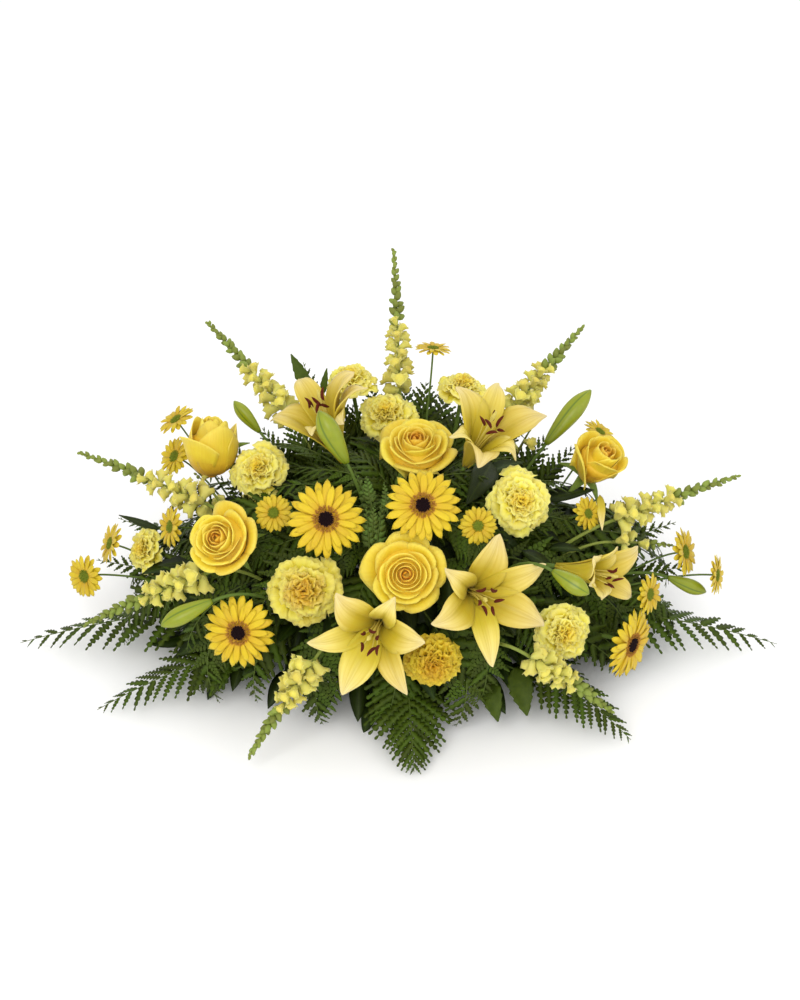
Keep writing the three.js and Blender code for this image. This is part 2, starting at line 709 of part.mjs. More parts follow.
// A fern frond along a curve: a slim rib with cut leaflets in pairs, in one closed surface
function frondShell({ curve, bare, pairs, width, up, toothedPairs = 0 }) {
  const shell = new Shell();
  const fractions = [0, bare * 0.5];
  for (let i = 0; i <= pairs; i += 1) {
    fractions.push(bare + ((1 - bare) * FROND.leafyTo * i) / pairs);
  }
  const stations = fractions.map((fraction) => {
    const point = curve.getPoint(fraction);
    const ahead = curve.getTangent(fraction).normalize();
    const side = ahead.clone().cross(up).normalize();
    const normal = side.clone().cross(ahead).normalize();
    const radius = FROND.rib * (1 - FROND.taper * fraction);
    return {
      point,
      ahead,
      side,
      normal,
      top: shell.add(along(point, normal, radius)),
      bottom: shell.add(along(point, normal, -radius)),
      left: shell.add(along(point, side, -radius)),
      right: shell.add(along(point, side, radius)),
    };
  });
  const bareStretch = (here, next) => {
    shell.quad(here.right, next.right, next.top, here.top);
    shell.quad(here.bottom, next.bottom, next.right, here.right);
    shell.quad(here.top, next.top, next.left, here.left);
    shell.quad(here.left, next.left, next.bottom, here.bottom);
  };
  for (let i = 0; i + 1 < stations.length; i += 1) {
    const here = stations[i];
    const next = stations[i + 1];
    const pair = i - 2;
    if (pair < 0) {
      bareStretch(here, next);
      continue;
    }
    const share = (pair + 0.5) / pairs;
    const swell = Math.sin(Math.PI * Math.min(1, 0.34 + share * 0.66)) ** 0.8;
    const root = here.point.clone().lerp(next.point, 0.5);
    for (const side of ['left', 'right']) {
      const sign = side === 'right' ? 1 : -1;
      const length = (width / 2) * Math.max(FROND.shortest, swell) * between(0.94, 1.06);
      const angle = radians(FROND.lean + FROND.leanMore * share + between(-FROND.uneven, FROND.uneven));
      const reach = here.side
        .clone()
        .multiplyScalar(sign * Math.cos(angle))
        .addScaledVector(here.ahead, Math.sin(angle))
        .addScaledVector(here.normal, -FROND.droop)
        .multiplyScalar(length);
      const across = here.ahead
        .clone()
        .multiplyScalar(Math.cos(angle))
        .addScaledVector(here.side, -sign * Math.sin(angle));
      const half = Math.min(length * FROND.slim, here.point.distanceTo(next.point) * FROND.spacing);
      addLeaflet(shell, { here, next, side, root, reach, across, half, toothed: pair < toothedPairs });
    }
  }
  const first = stations[0];
  shell.quad(first.top, first.left, first.bottom, first.right);
  const last = stations[stations.length - 1];
  const tip = shell.add(curve.getPoint(1));
  shell.face(last.left, last.top, tip);
  shell.face(last.bottom, last.left, tip);
  shell.face(last.right, last.bottom, tip);
  shell.face(last.top, last.right, tip);
  return shell;
}

// Room that each flower keeps for itself, as an ellipsoid round its own axis
const rooms = [];
function keepRoom(owner, foot, axis, radius, height) {
  rooms.push({ owner, centre: along(foot, axis, height / 2), axis: axis.clone(), radius, half: height / 2 });
}

function pushedClear(point, owners, margin) {
  const moved = point.clone();
  for (let pass = 0; pass < CLEAR_OF.passes; pass += 1) {
    for (const room of rooms) {
      if (owners.includes(room.owner)) {
        continue;
      }
      const offset = moved.clone().sub(room.centre);
      const up = offset.dot(room.axis);
      const flat = offset.clone().addScaledVector(room.axis, -up);
      const scaled = Math.hypot(flat.length() / (room.radius + margin), up / (room.half + margin));
      if (scaled < 1) {
        const grow = 1 / Math.max(scaled, 0.2);
        moved.copy(room.centre).addScaledVector(offset, grow);
      }
    }
  }
  return moved;
}

// Stems run from the foam to the flower's foot, in line with the flower where they meet it
const inFoam = (foot) =>
  vec(foot.x * STEM_ROOT.x, foot.y * STEM_ROOT.y, STEM_ROOT.lowest + foot.z * STEM_ROOT.z);

function stemPath(start, foot, axis, owners, segments = 4) {
  const span = start.distanceTo(foot);
  const curve = new THREE.CubicBezierCurve3(
    start,
    start.clone().lerp(foot, STEM_BEND.leave),
    along(foot, axis, -span * STEM_BEND.arrive),
    foot,
  );
  return curve.getPoints(segments).map((point, i) => {
    if (i === 0 || i === segments || i === segments - 1) {
      return point;
    }
    return pushedClear(point, owners, CLEAR_OF.stem);
  });
}

// A leaf from a point on a stem, arching outwards and bent clear of the flowers
const LEAF_STATIONS = [0, 0.34, 0.7, 1];
function leafSolid(point, direction, length, half) {
  const outward = point.clone().sub(vec(0, 0, MOUND.base / 2)).normalize();
  const points = LEAF_STATIONS.map((share) =>
    along(along(point, direction, length * share), outward, -2 * LEAF.droop * share * share),
  );
  const clear = points.map((p, i) => (i === 0 ? p : pushedClear(p, [], half * 0.4)));
  const side = direction.clone().cross(outward).normalize();
  return leafShell(clear, [LEAF.stalk, half, half * 0.8], side).solid();
}

// How many of the others a solid cuts into
function crossings(solid, others) {
  const { min, max } = solid.boundingBox();
  const near = others.filter((other) => {
    const box = other.boundingBox();
    return [0, 1, 2].every((i) => min[i] < box.max[i] && max[i] > box.min[i]);
  });
  return near.filter((other) => solid.intersect(other).volume() > 0).length;
}

// The choice that cuts least into other greens, and into flowers only if none keeps clear of them.
// A crossed flower counts as much as this many crossed greens.
const FLOWER_WEIGHT = 10;
function leastCrossed(choices) {
  const flowers = nodes.map((node) => node.solid);
  const scored = choices.map((solid) => ({
    solid,
    count: crossings(solid, [...greens, ...leaves]) + FLOWER_WEIGHT * crossings(solid, flowers),
  }));
  return scored.reduce((best, one) => (one.count < best.count ? one : best)).solid;
}

const stemCurves = [];
const sleeves = [];
function sleeve(points, radius, sides = 3) {
  const back = points[0].clone().sub(points[1]).normalize();
  const path = [along(points[0], back, HOLE.deeper), ...points.slice(1)];
  sleeves.push(tubeShell(path, path.map(() => radius + HOLE.wider), sides).solid());
}

function flowerStem(foot, axis, owner, radius, calyx) {
  const end = along(foot, axis, -CLEARANCE);
  const neck = along(end, axis, -calyx * 1.1);
  const points = stemPath(inFoam(foot), neck, axis, [owner]);
  sleeve(points, radius);
  const radii = [...points.map(() => radius), calyx];
  stemCurves.push(new THREE.CatmullRomCurve3(points));
  return tubeShell([...points, end], radii, 3).solid();
}

// Nodes of the spray, in the order that they are made
const leaves = [];
const nodes = [];
const addNode = (name, solid, colour) => nodes.push({ name, solid, colour });
const greens = [];

function footOf(flower, axis, share) {
  const middle = spotOnMound(flower.column, flower.row, flower.lift);
  return along(middle, axis, -flower.width * share);
}

// First the places of all flowers, so that stems and fronds can keep clear of them
const HEAD = {
  rose: { share: 0.24, high: 0.52 },
  gerbera: { share: 0.1, high: 0.16 },
  carnation: { share: 0.26, high: 0.53 },
  pompon: { share: 0.26, high: 0.5 },
  daisy: { share: 0.12, high: 0.24 },
};

function placed(kind, flower) {
  const axis = facing(flower.right, flower.up);
  const foot = footOf(flower, axis, HEAD[kind].share);
  keepRoom(flower.name, foot, axis, flower.width / 2, flower.width * HEAD[kind].high);
  return { ...flower, kind, axis, foot };
}

const roses = ROSES.map((flower) => placed('rose', flower));
const gerberas = GERBERAS.map((flower) => placed('gerbera', flower));
const carnations = CARNATIONS.map((flower) => placed('carnation', flower));
const pompons = POMPONS.map((flower) => placed('pompon', flower));
const lilies = LILIES.map((flower, k) => {
  const axis = facing(flower.right, flower.up);
  const foot = spotOnMound(flower.column, flower.row, flower.lift);
  const open = LILY_OPENINGS[k];
  keepRoom(flower.name, foot, axis, flower.width * 0.36, lilyHeight(flower.width, open));
  return { ...flower, kind: 'lily', spin: LILY_SPINS[k], open, axis, foot };
});
const sprays = DAISY_SPRAYS.map((spray) => ({
  name: spray.name,
  heads: spray.heads.map((head) => placed('daisy', { ...head, name: spray.name })),
}));

function backFlower(kind, name, at, axis, width) {
  const direction = vec(...axis).normalize();
  const foot = vec(...at);
  keepRoom(name, foot, direction, width / 2, width * HEAD[kind].high);
  return { name, kind, width, axis: direction, foot };
}
roses.push(backFlower('rose', 'rose_back', [26, 150, 114], [-0.12, 0.85, 0.5], 90));
carnations.push(backFlower('carnation', 'carnation_back_left', [-150, 128, 118], [-0.4, 0.8, 0.5], 74));
carnations.push(backFlower('carnation', 'carnation_back_right', [112, 142, 122], [0.25, 0.8, 0.5], 76));
sprays.push({
  name: 'daisies_back',
  heads: [backFlower('daisy', 'daisies_back', [-62, 176, 96], [-0.2, 0.93, 0.3], 48)],
});

// Single flowers, each seated on the calyx of its stem
const SHELLS = { rose: roseShell, carnation: carnationShell, pompon: pomponShell, gerbera: gerberaShell };
for (const flower of [...roses, ...gerberas, ...carnations, ...pompons]) {
  const frame = flowerFrame(flower.foot, flower.axis, between(0, 60));
  addNode(flower.name, SHELLS[flower.kind](flower.width / 2).solid(frame), COLOUR[flower.kind]);
  if (flower.kind === 'gerbera') {
    const disc = gerberaDiscShell(flower.width / 2, flower.width * 0.05);
    addNode(`${flower.name}_disc`, disc.solid(frame), COLOUR.gerberaDisc);
  }
}
for (const flower of lilies) {
  const frame = flowerFrame(flower.foot, flower.axis, flower.spin);
  const solid = lilySolid(flower.width, flower.open);
  addNode(flower.name, solidOf(geometryOf(solid).applyMatrix4(frame)), COLOUR.lily);
}

// Their stems, from left to right
const CALYX = { rose: 0.07, carnation: 0.07, pompon: 0.07, gerbera: 0.09, lily: 0.03 };
const singles = [...roses, ...gerberas, ...carnations, ...pompons, ...lilies];
singles.sort((a, b) => a.foot.x - b.foot.x);
for (const flower of singles) {
  const calyx = flower.width * CALYX[flower.kind];
  greens.push(flowerStem(flower.foot, flower.axis, flower.name, STEM.thick, calyx));
}

// Daisies on their branching stems: where the stem forks, and how the branches meet the heads
const DAISY = { fork: 0.6, below: 20, neck: 6, sunk: 3 };
for (const spray of sprays) {
  const count = spray.heads.length;
  const foot = spray.heads.reduce((sum, head) => sum.add(head.foot), vec(0, 0, 0)).divideScalar(count);
  const axis = spray.heads.reduce((sum, head) => sum.add(head.axis), vec(0, 0, 0)).normalize();
  const start = inFoam(foot);
  const fork = start.clone().lerp(along(foot, axis, -DAISY.below), DAISY.fork);
  const main = stemPath(start, fork, fork.clone().sub(start).normalize(), [spray.name], 2);
  const parts = [];
  spray.heads.forEach((head, k) => {
    const frame = flowerFrame(head.foot, head.axis, between(0, 30));
    parts.push(daisyShell(head.width / 2).solid(frame));
    const end = along(head.foot, head.axis, DAISY.sunk);
    const neck = along(head.foot, head.axis, -DAISY.neck);
    const branch = stemPath(fork, neck, head.axis, [spray.name], 2);
    const path = k === 0 ? [...main, ...branch.slice(1), end] : [...branch, end];
    parts.push(tubeShell(path, path.map(() => STEM.fine), 3).solid());
  });
  sleeve(main, STEM.fine);
  addNode(spray.name, joined(parts), COLOUR.daisy);
}

// Snapdragon spires: a bare stem, then open florets, then buds that stand out of the stem up to its tip
const SPIRE = {
  sides: 4,
  stem: 2,
  bow: 6,
  florets: 6,
  floretShare: 0.42,
  budRows: 7,
  budShare: 0.97,
  budOut: 8,
};
const FLORET = { sides: 4, root: 1.2, longest: 28, shorter: 20, lip: 0.44, lean: 0.35, turn: 137.5 };

function floretShell(length) {
  const lip = frilledRing(FLORET.sides, length * FLORET.lip, length * 0.86, 0.8, 1.15);
  return ringShell([ring(FLORET.sides, FLORET.root, 0), lip], vec(0, 0, length * 0.6));
}

function spireStem(stalk, curve) {
  const points = [...stalk];
  const radii = stalk.map(() => [SPIRE.stem, SPIRE.stem]);
  for (let row = 0; row <= SPIRE.budRows; row += 1) {
    const share = row / SPIRE.budRows;
    points.push(curve.getPoint(SPIRE.floretShare + (SPIRE.budShare - SPIRE.floretShare) * share));
    const out = SPIRE.budOut * (1 - 0.72 * share);
    const slim = SPIRE.stem * (1 - 0.5 * share);
    radii.push(row === 0 ? [slim, slim] : row % 2 ? [out, slim] : [slim, out]);
  }
  points.push(curve.getPoint(1));
  radii.push([0.4, 0.4]);
  return tubeShell(points, radii, SPIRE.sides);
}

for (const spire of SPIRES) {
  const tip = spire.tipHeight
    ? spotAtHeight(...spire.tip, spire.tipHeight)
    : spot(...spire.tip, spire.tipNear);
  const low = spotOnMound(...spire.low, spire.lowLift);
  const bend = low.clone().lerp(tip, 0.5).add(vec(0, 0, SPIRE.bow));
  const curve = new THREE.QuadraticBezierCurve3(low, bend, tip);
  const axis = tip.clone().sub(low).normalize();
  const stalk = stemPath(inFoam(low), low, axis, [spire.name], 3);
  sleeve(stalk, SPIRE.stem, SPIRE.sides);
  const parts = [spireStem(stalk, curve).solid()];
  for (let k = 0; k < SPIRE.florets; k += 1) {
    const share = (SPIRE.floretShare * (k + 0.2)) / SPIRE.florets;
    const point = curve.getPoint(share);
    const ahead = curve.getTangent(share);
    const hint = Math.abs(ahead.y) > NEAR_PARALLEL ? RIGHT : vec(0, 1, 0);
    const sideways = ahead.clone().cross(hint).normalize();
    const other = ahead.clone().cross(sideways);
    const angle = radians(FLORET.turn * k);
    const out = sideways.multiplyScalar(Math.cos(angle)).addScaledVector(other, Math.sin(angle));
    const direction = out.addScaledVector(ahead, FLORET.lean).normalize();
    const size = FLORET.longest - FLORET.shorter * share;
    parts.push(floretShell(size).solid(flowerFrame(point, direction)));
  }
  addNode(spire.name, joined(parts), COLOUR.snapdragon);
  keepRoom(spire.name, low.clone(), axis, 20, curve.getLength());
}

// Fern fronds round the rim: how deep they stand in the foam, their arch, the bare length of the stalk,
// the size of their holes, and the pairs of leaflets with cut edges
const RIM = { inside: 6, arch: 14, stalk: 62, hole: 2, holeSides: 4, toothedPairs: 2 };
for (const frond of [...RIM_FRONDS, ...BACK_FRONDS]) {
  const tip = frond.tipAt ? vec(...frond.tipAt) : spotAtHeight(...frond.tip, frond.height);
  const start = vec(...frond.start);
  const outward = tip.clone().sub(start);
  const inside = along(start, outward.clone().setZ(0).normalize(), -RIM.inside);
  const bend = start.clone().lerp(tip, 0.5).setZ(start.z + RIM.arch);
  const curve = new THREE.QuadraticBezierCurve3(inside, bend, tip);
  sleeve([inside, ...curve.getPoints(6).slice(1, 4)], RIM.hole, RIM.holeSides);
  const shell = frondShell({
    curve,
    bare: RIM.stalk / outward.length(),
    pairs: frond.pairs,
    width: frond.width,
    up: vec(0, 0, 1),
    toothedPairs: RIM.toothedPairs,
  });
  addNode(frond.name, shell.solid(), COLOUR.fern);
}

// The nearest place on the flower stems, for what branches off them
const nearest = (point, places) =>
  places.reduce((best, one) => (one.distanceTo(point) < best.distanceTo(point) ? one : best));
const BRANCH_SHARES = [0.3, 0.4, 0.5, 0.6, 0.7];
function nearestOnStems(point) {
  return nearest(
    point,
    stemCurves.flatMap((curve) => BRANCH_SHARES.map((share) => curve.getPoint(share))),
  );
}

// Lily buds on stalks that branch off the stems
const BUD_STALK = { length: 40, sunk: 5 };
for (const bud of BUDS) {
  const foot = spotOnMound(...bud.foot, bud.lift);
  const tip = spot(...bud.tip, nearness(foot) + bud.nearer);
  const axis = tip.clone().sub(foot).normalize();
  const root = nearestOnStems(along(foot, axis, -BUD_STALK.length));
  const stalk = stemPath(root, along(foot, axis, BUD_STALK.sunk), axis, [], 3);
  greens.push(budSolid(foot, tip, bud.width));
  greens.push(tubeShell(stalk, stalk.map(() => STEM.slim), 3).solid());
}

// The saddle tray and the foam in it
function stadium(length, width, endRadius) {
  const shape = new THREE.Shape();
  const x = length / 2 - endRadius;
  const y = width / 2 - endRadius;
  shape.absarc(x, y, endRadius, 0, Math.PI / 2);
  shape.absarc(-x, y, endRadius, Math.PI / 2, Math.PI);
  shape.absarc(-x, -y, endRadius, Math.PI, Math.PI * 1.5);
  shape.absarc(x, -y, endRadius, Math.PI * 1.5, Math.PI * 2);
  return shape;
}
function plate(length, width, endRadius, height, z) {
  const geometry = new THREE.ExtrudeGeometry(stadium(length, width, endRadius), {
    depth: height,
    bevelEnabled: false,
    curveSegments: 2,
  });
  return solidOf(geometry.translate(0, 0, z));
}
const trayBody = plate(TRAY.length, TRAY.width, TRAY.corner, TRAY.height, 0);
const trayHollow = plate(
  TRAY.length - 2 * TRAY.wall,
  TRAY.width - 2 * TRAY.wall,
  TRAY.corner - TRAY.wall,
  TRAY.height,
  TRAY.wall,
);
addNode('saddle_tray', trayBody.subtract(trayHollow), COLOUR.tray);

const foamMiddle = TRAY.wall + CLEARANCE + FOAM.height / 2;
const foamBlock = solidOf(
  new THREE.BoxGeometry(FOAM.length, FOAM.width, FOAM.height).translate(0, 0, foamMiddle),
);

// Stems, calyces, buds and filling leaves hold together as one body.
// The filling fronds come first: the bare length of their stalk and its largest share of the frond,
// the arches that are tried, and the tip height over which a frond lies in the mound's own slope.
const FILL = { stalk: 50, stalkShare: 0.4, arches: [0, 10, 20, 30], slopeFrom: 80 };
for (const frond of FILL_FRONDS) {
  let tip = vec(...(frond.tipAt ?? [0, 0, 0]));
  if (frond.tip) {
    tip = frond.height ? spotAtHeight(...frond.tip, frond.height) : spotOnMound(...frond.tip, frond.lift);
  }
  const start = nearestOnStems(vec(...frond.start));
  const outward = tip.clone().sub(start);
  const slope = outward.clone().cross(vec(0, 0, 1)).cross(outward).normalize();
  const lift = tip.z > FILL.slopeFrom ? slope : vec(0, 0, 1);
  const bare = Math.min(FILL.stalkShare, FILL.stalk / outward.length());
  const choices = FILL.arches.map((arch) => {
    const middle = start.clone().lerp(tip, 0.5).addScaledVector(lift, arch);
    const bend = pushedClear(middle, [], CLEAR_OF.frond);
    const curve = new THREE.QuadraticBezierCurve3(start, bend, tip);
    return frondShell({ curve, bare, pairs: frond.pairs, width: frond.width, up: lift }).solid();
  });
  leaves.push(leastCrossed(choices));
}

// Each stem after the first has a leaf against the nearest stem before it, where the two hold together
const LINK_LEAF = { shares: [0.3, 0.38, 0.46], higher: 0.1, past: 1.25, pastMore: 8, slim: 0.26, widest: 12 };
for (const [i, curve] of [...stemCurves.entries()].slice(1)) {
  const choices = LINK_LEAF.shares.map((share) => {
    const point = curve.getPoint(share);
    const targets = stemCurves
      .slice(0, i)
      .flatMap((other) => [other.getPoint(share), other.getPoint(share + LINK_LEAF.higher)]);
    const reach = nearest(point, targets).sub(point);
    const length = reach.length() * LINK_LEAF.past + LINK_LEAF.pastMore;
    return leafSolid(point, reach.normalize(), length, Math.min(LINK_LEAF.widest, length * LINK_LEAF.slim));
  });
  leaves.push(leastCrossed(choices));
}

// And every second stem has a larger leaf that spreads where it crosses least
const SPREAD_LEAF = { directions: 12, forward: 0.6 };
for (const curve of stemCurves.filter((_, i) => i % 2 === 0)) {
  const share = between(0.5, 0.7);
  const point = curve.getPoint(share);
  const ahead = curve.getTangent(share);
  const hint = Math.abs(ahead.z) > NEAR_PARALLEL ? RIGHT : vec(0, 0, 1);
  const first = ahead.clone().cross(hint).normalize();
  const second = ahead.clone().cross(first);
  const size = between(0.9, 1.1);
  const choices = Array.from({ length: SPREAD_LEAF.directions }, (_, k) => {
    const angle = radians((360 / SPREAD_LEAF.directions) * k);
    const direction = ahead
      .clone()
      .multiplyScalar(SPREAD_LEAF.forward)
      .addScaledVector(first, Math.cos(angle))
      .addScaledVector(second, Math.sin(angle))
      .normalize();
    return leafSolid(point, direction, size * LEAF.length, size * LEAF.half);
  });
  leaves.push(leastCrossed(choices));
}

// Leaves end at the foam and the tray, and everything ends short of what it would cross
const trayRoom = plate(TRAY.length + 1, TRAY.width + 1, TRAY.corner, TRAY.height + 1, -1);
const foliage = cutBy(joined(leaves), [grown(foamBlock, CLEARANCE), trayRoom]);
let greensSolid = foliage.add(joined(greens));
for (const { solid } of nodes) {
  if (greensSolid.intersect(solid).volume() > 0) {
    greensSolid = greensSolid.subtract(grown(solid, CLEARANCE));
  }
}
addNode('greens', largestPiece(greensSolid), COLOUR.greens);
addNode('floral_foam', cutBy(foamBlock, sleeves), COLOUR.foam);

const casketSpray = new THREE.Group();
for (const { name, solid, colour } of nodes) {
  const material = new THREE.MeshStandardMaterial({ color: colour, roughness: 0.6, metalness: 0 });
  const mesh = new THREE.Mesh(geometryOf(solid), material);
  mesh.name = name;
  casketSpray.add(mesh);
}

export default casketSpray;
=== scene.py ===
"""Casket spray: yellow flowers and fern, made petal by petal and leaf by leaf around the spray's frame.

Lengths are millimetres, and a finished mesh is turned into metres. A flower is made in its own frame, with
its foot at the origin and z out of its face, and is then put in its place on the mound.
"""

import math
from collections import namedtuple

import bpy
import numpy as np
from bpy.props import FloatProperty, IntProperty, PointerProperty
from mathutils import Matrix, Vector


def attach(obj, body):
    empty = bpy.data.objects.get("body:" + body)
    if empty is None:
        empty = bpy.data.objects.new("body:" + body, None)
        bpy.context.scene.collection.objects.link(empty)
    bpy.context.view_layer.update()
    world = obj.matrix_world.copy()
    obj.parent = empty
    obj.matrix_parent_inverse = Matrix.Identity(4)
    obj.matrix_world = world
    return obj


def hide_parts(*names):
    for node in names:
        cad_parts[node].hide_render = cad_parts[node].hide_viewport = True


bl_info = {
    "name": "Casket Spray",
    "version": (1, 0, 0),
    "blender": (4, 5, 0),
    "location": "3D View > Sidebar > Spray",
    "description": "Makes the flowers and greens of a casket spray around its frame",
    "category": "Add Mesh",
}

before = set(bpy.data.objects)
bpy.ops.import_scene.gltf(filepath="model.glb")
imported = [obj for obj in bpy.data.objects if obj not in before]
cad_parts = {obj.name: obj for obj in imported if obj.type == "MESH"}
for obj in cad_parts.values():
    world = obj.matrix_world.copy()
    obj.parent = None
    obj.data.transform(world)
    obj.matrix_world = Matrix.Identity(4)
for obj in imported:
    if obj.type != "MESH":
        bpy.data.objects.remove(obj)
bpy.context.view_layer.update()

MM = 0.001
GOLDEN_TURN = math.radians(137.508)
SEED = 20117
ORIGIN = (0, 0, 0)
# What each petal or leaf carries for its finish: a random share, and how far out it lies in its flower
MARKS = ("tint", "layer")
STEM_SIDES = 6
# Leaves that would hang lower than this many mm lie down on the floor
FLOOR_CLEAR = 3.0

# Layout drawing: an upright picture of the front, looked down on at 40 degrees.
# Columns run right, rows run down, and the foot is where the origin shows.
UNIT = 1.2
TILT = math.radians(40)
DISTANCE = 3000
MIDDLE_COLUMN, MIDDLE_ROW = 400, 500
FOOT_COLUMN, FOOT_ROW = 398, 640
# The flowers sit on a half ellipsoid
MOUND_SIZE = (325, 185, 215)
MOUND_BASE = 45

# Column and row of the middle, width, facing to the right and up, lift towards the viewer off the mound
Bloom = namedtuple("Bloom", "name column row width right up lift")
ROSES = [Bloom(*row) for row in (
    ("rose_upper_left", 212, 447, 78, -0.55, 0.42, 0),
    ("rose_left", 225, 542, 86, -0.3, 0.05, 6),
    ("rose_top", 416, 450, 92, -0.02, 0.42, -8),
    ("rose_front", 406, 575, 98, 0, 0.06, -8),
    ("rose_upper_right", 594, 468, 78, 0.42, 0.4, 4),
)]
GERBERAS = [Bloom(*row) for row in (
    ("gerbera_upper_left", 326, 519, 94, 0, 0.12, 14),
    ("gerbera_centre", 423, 505, 90, 0.03, 0.16, 32),
    ("gerbera_lower_left", 238, 633, 90, -0.22, -0.12, 4),
    ("gerbera_lower_right", 633, 645, 90, 0.78, -0.3, 0),
)]
CARNATIONS = [Bloom(*row) for row in (
    ("carnation_upper_left", 258, 468, 72, -0.2, 0.35, 6),
    ("carnation_top", 386, 411, 74, -0.1, 0.62, -22),
    ("carnation_top_left", 350, 376, 64, -0.15, 0.8, -58),
    ("carnation_top_right", 463, 384, 66, 0.12, 0.85, -48),
    ("carnation_right", 521, 501, 77, 0.15, 0.15, 4),
    ("carnation_front_left", 304, 591, 84, -0.08, -0.04, -2),
    ("carnation_left", 142, 549, 60, -0.75, 0.2, 0),
    ("carnation_lower_right", 566, 634, 72, 0.35, -0.2, -8),
)]
POMPON = Bloom("pompon_front", 433, 664, 68, 0.05, -0.4, 0)
LILIES = [Bloom(*row) for row in (
    ("lily_top_left", 344, 462, 150, -0.34, 0.8, -48),
    ("lily_top_right", 465, 466, 146, 0.38, 0.66, -24),
    ("lily_front_left", 381, 620, 148, -0.17, -0.26, -20),
    ("lily_front_right", 468, 590, 152, 0.3, -0.1, -30),
    ("lily_right", 556, 566, 128, 0.84, -0.14, -24),
)]
LILY_SPINS = (0, 10, 2, 28, 14)
LILY_OPENINGS = (0.62, 0.75, 1, 1, 0.7)
# The six tips of each lily: column, row, height over its foot as a share of half the width, and bow
LILY_TIPS = {
    "lily_top_left": [
        (271, 421, 0.8, 0.14), (299, 379, 1.15, 0.06), (354, 372, 1.35, 0.02), (368, 388, 1.15, 0.05),
        (344, 424, 0.9, 0.1), (312, 436, 0.8, 0.12),
    ],
    "lily_top_right": [
        (456, 387, 1.0, 0.05), (499, 383, 1.05, 0.04), (547, 416, 0.95, 0.05), (516, 461, 0.6, 0.24),
        (478, 468, 0.62, 0.2), (449, 437, 0.6, 0.24),
    ],
    "lily_front_left": [
        (336, 593, 0.62, 0.1), (395, 597, 0.5, 0.24), (425, 643, 0.55, 0.12), (407, 695, 0.6, 0.08),
        (342, 695, 0.66, 0.06), (307, 643, 0.6, 0.1),
    ],
    "lily_front_right": [
        (500, 534, 0.55, 0.12), (546, 564, 0.6, 0.1), (544, 626, 0.6, 0.08), (493, 667, 0.62, 0.06),
        (431, 624, 0.55, 0.14), (445, 568, 0.5, 0.24),
    ],
    "lily_right": [
        (638, 546, 1.2, 0.02), (631, 597, 1.1, 0.05), (602, 600, 0.95, 0.08), (589, 586, 0.85, 0.1),
        (594, 556, 0.9, 0.06), (618, 547, 1.05, 0.02),
    ],
}
DAISY_ROWS = {
    "daisies_far_left": [(86, 576, 53, -0.6, -0.1, 0), (112, 544, 51, -0.85, 0.22, -20)],
    "daisies_upper_left": [
        (177, 421, 50, -0.5, 0.7, -52), (176, 457, 51, -0.66, 0.28, -52), (172, 527, 50, -0.82, 0.05, 4)
    ],
    "daisy_left": [(274, 513, 46, -0.1, 0.1, 2)],
    "daisy_centre": [(478, 526, 45, 0.05, 0.08, 14)],
    "daisy_top": [(433, 350, 46, 0.05, 0.93, -60)],
    "daisies_upper_right": [(599, 433, 44, 0.5, 0.72, -30), (587, 514, 42, 0.6, 0.12, -20)],
    "daisies_far_right": [
        (683, 552, 58, 0.86, 0.1, 4), (715, 575, 50, 0.93, -0.05, 0), (648, 594, 50, 0.8, -0.1, 24)
    ],
}
DAISY_SPRAYS = {name: [Bloom(name, *row) for row in rows] for name, rows in DAISY_ROWS.items()}
# Flowers on the back: foot, axis and width
BACK_BLOOMS = {
    "rose_back": ((26, 150, 114), (-0.12, 0.85, 0.5), 90),
    "carnation_back_left": ((-150, 128, 118), (-0.4, 0.8, 0.5), 74),
    "carnation_back_right": ((112, 142, 122), (0.25, 0.8, 0.5), 76),
    "daisies_back": ((-62, 176, 96), (-0.2, 0.93, 0.3), 48),
}
# Closed lily buds: tip and foot on the drawing, width, lift of the foot, how much nearer the tip is
Bud = namedtuple("Bud", "tip foot width lift nearer")
BUDS = [Bud(*row) for row in (
    ((319, 411), (347, 463), 26, 36, 14),
    ((234, 401), (260, 432), 17, -30, 0),
    ((591, 390), (546, 444), 24, -16, 0),
    ((161, 626), (212, 601), 22, 24, 0),
    ((589, 594), (553, 571), 21, 44, 16),
    ((706, 592), (668, 577), 18, 4, -10),
)]
# Snapdragons: tip, where the lowest floret opens, how near or high the tip is, and the lowest floret's lift
Spire = namedtuple("Spire", "name tip low near high lift")
SPIRES = [Spire(*row) for row in (
    ("snapdragon_top", (394, 249), (400, 392), -60, None, -60),
    ("snapdragon_upper_left", (207, 322), (288, 414), -60, None, -50),
    ("snapdragon_upper_right", (583, 327), (511, 412), -60, None, -60),
    ("snapdragon_left", (78, 452), (208, 505), 20, None, -10),
    ("snapdragon_right", (739, 476), (614, 520), 20, None, 0),
    ("snapdragon_low_left", (84, 625), (204, 574), 110, None, -8),
    ("snapdragon_front_left", (249, 757), (314, 660), 0, 24, 6),
    ("snapdragon_front_right", (612, 712), (530, 657), 0, 34, 30),
)]
SPIRE_BOW = 6
# Rim fronds: tip on the drawing and its height, where the frond leaves the foam, and its width
Frond = namedtuple("Frond", "name tip height start width")
RIM_FRONDS = [Frond(*row) for row in (
    ("fern_left", (20, 643), 16, (-124, -6, 58), 140),
    ("fern_front_left", (97, 710), 14, (-100, -38, 52), 124),
    ("fern_front", (414, 772), 12, (6, -42, 52), 140),
    ("fern_front_right", (631, 740), 14, (92, -40, 54), 120),
    ("fern_right", (777, 644), 16, (124, -4, 58), 146),
)]
# Back fronds: the tip is a place
BACK_FRONDS = [Frond(*row) for row in (
    ("fern_back_left", (-330, 190, 24), None, (-100, 38, 54), 130),
    ("fern_back", (-30, 280, 22), None, (-10, 42, 52), 140),
    ("fern_back_right", (330, 180, 24), None, (98, 38, 54), 130),
)]
RIM_STALK = 62
RIM_INSIDE = 6
RIM_ARCH = 14
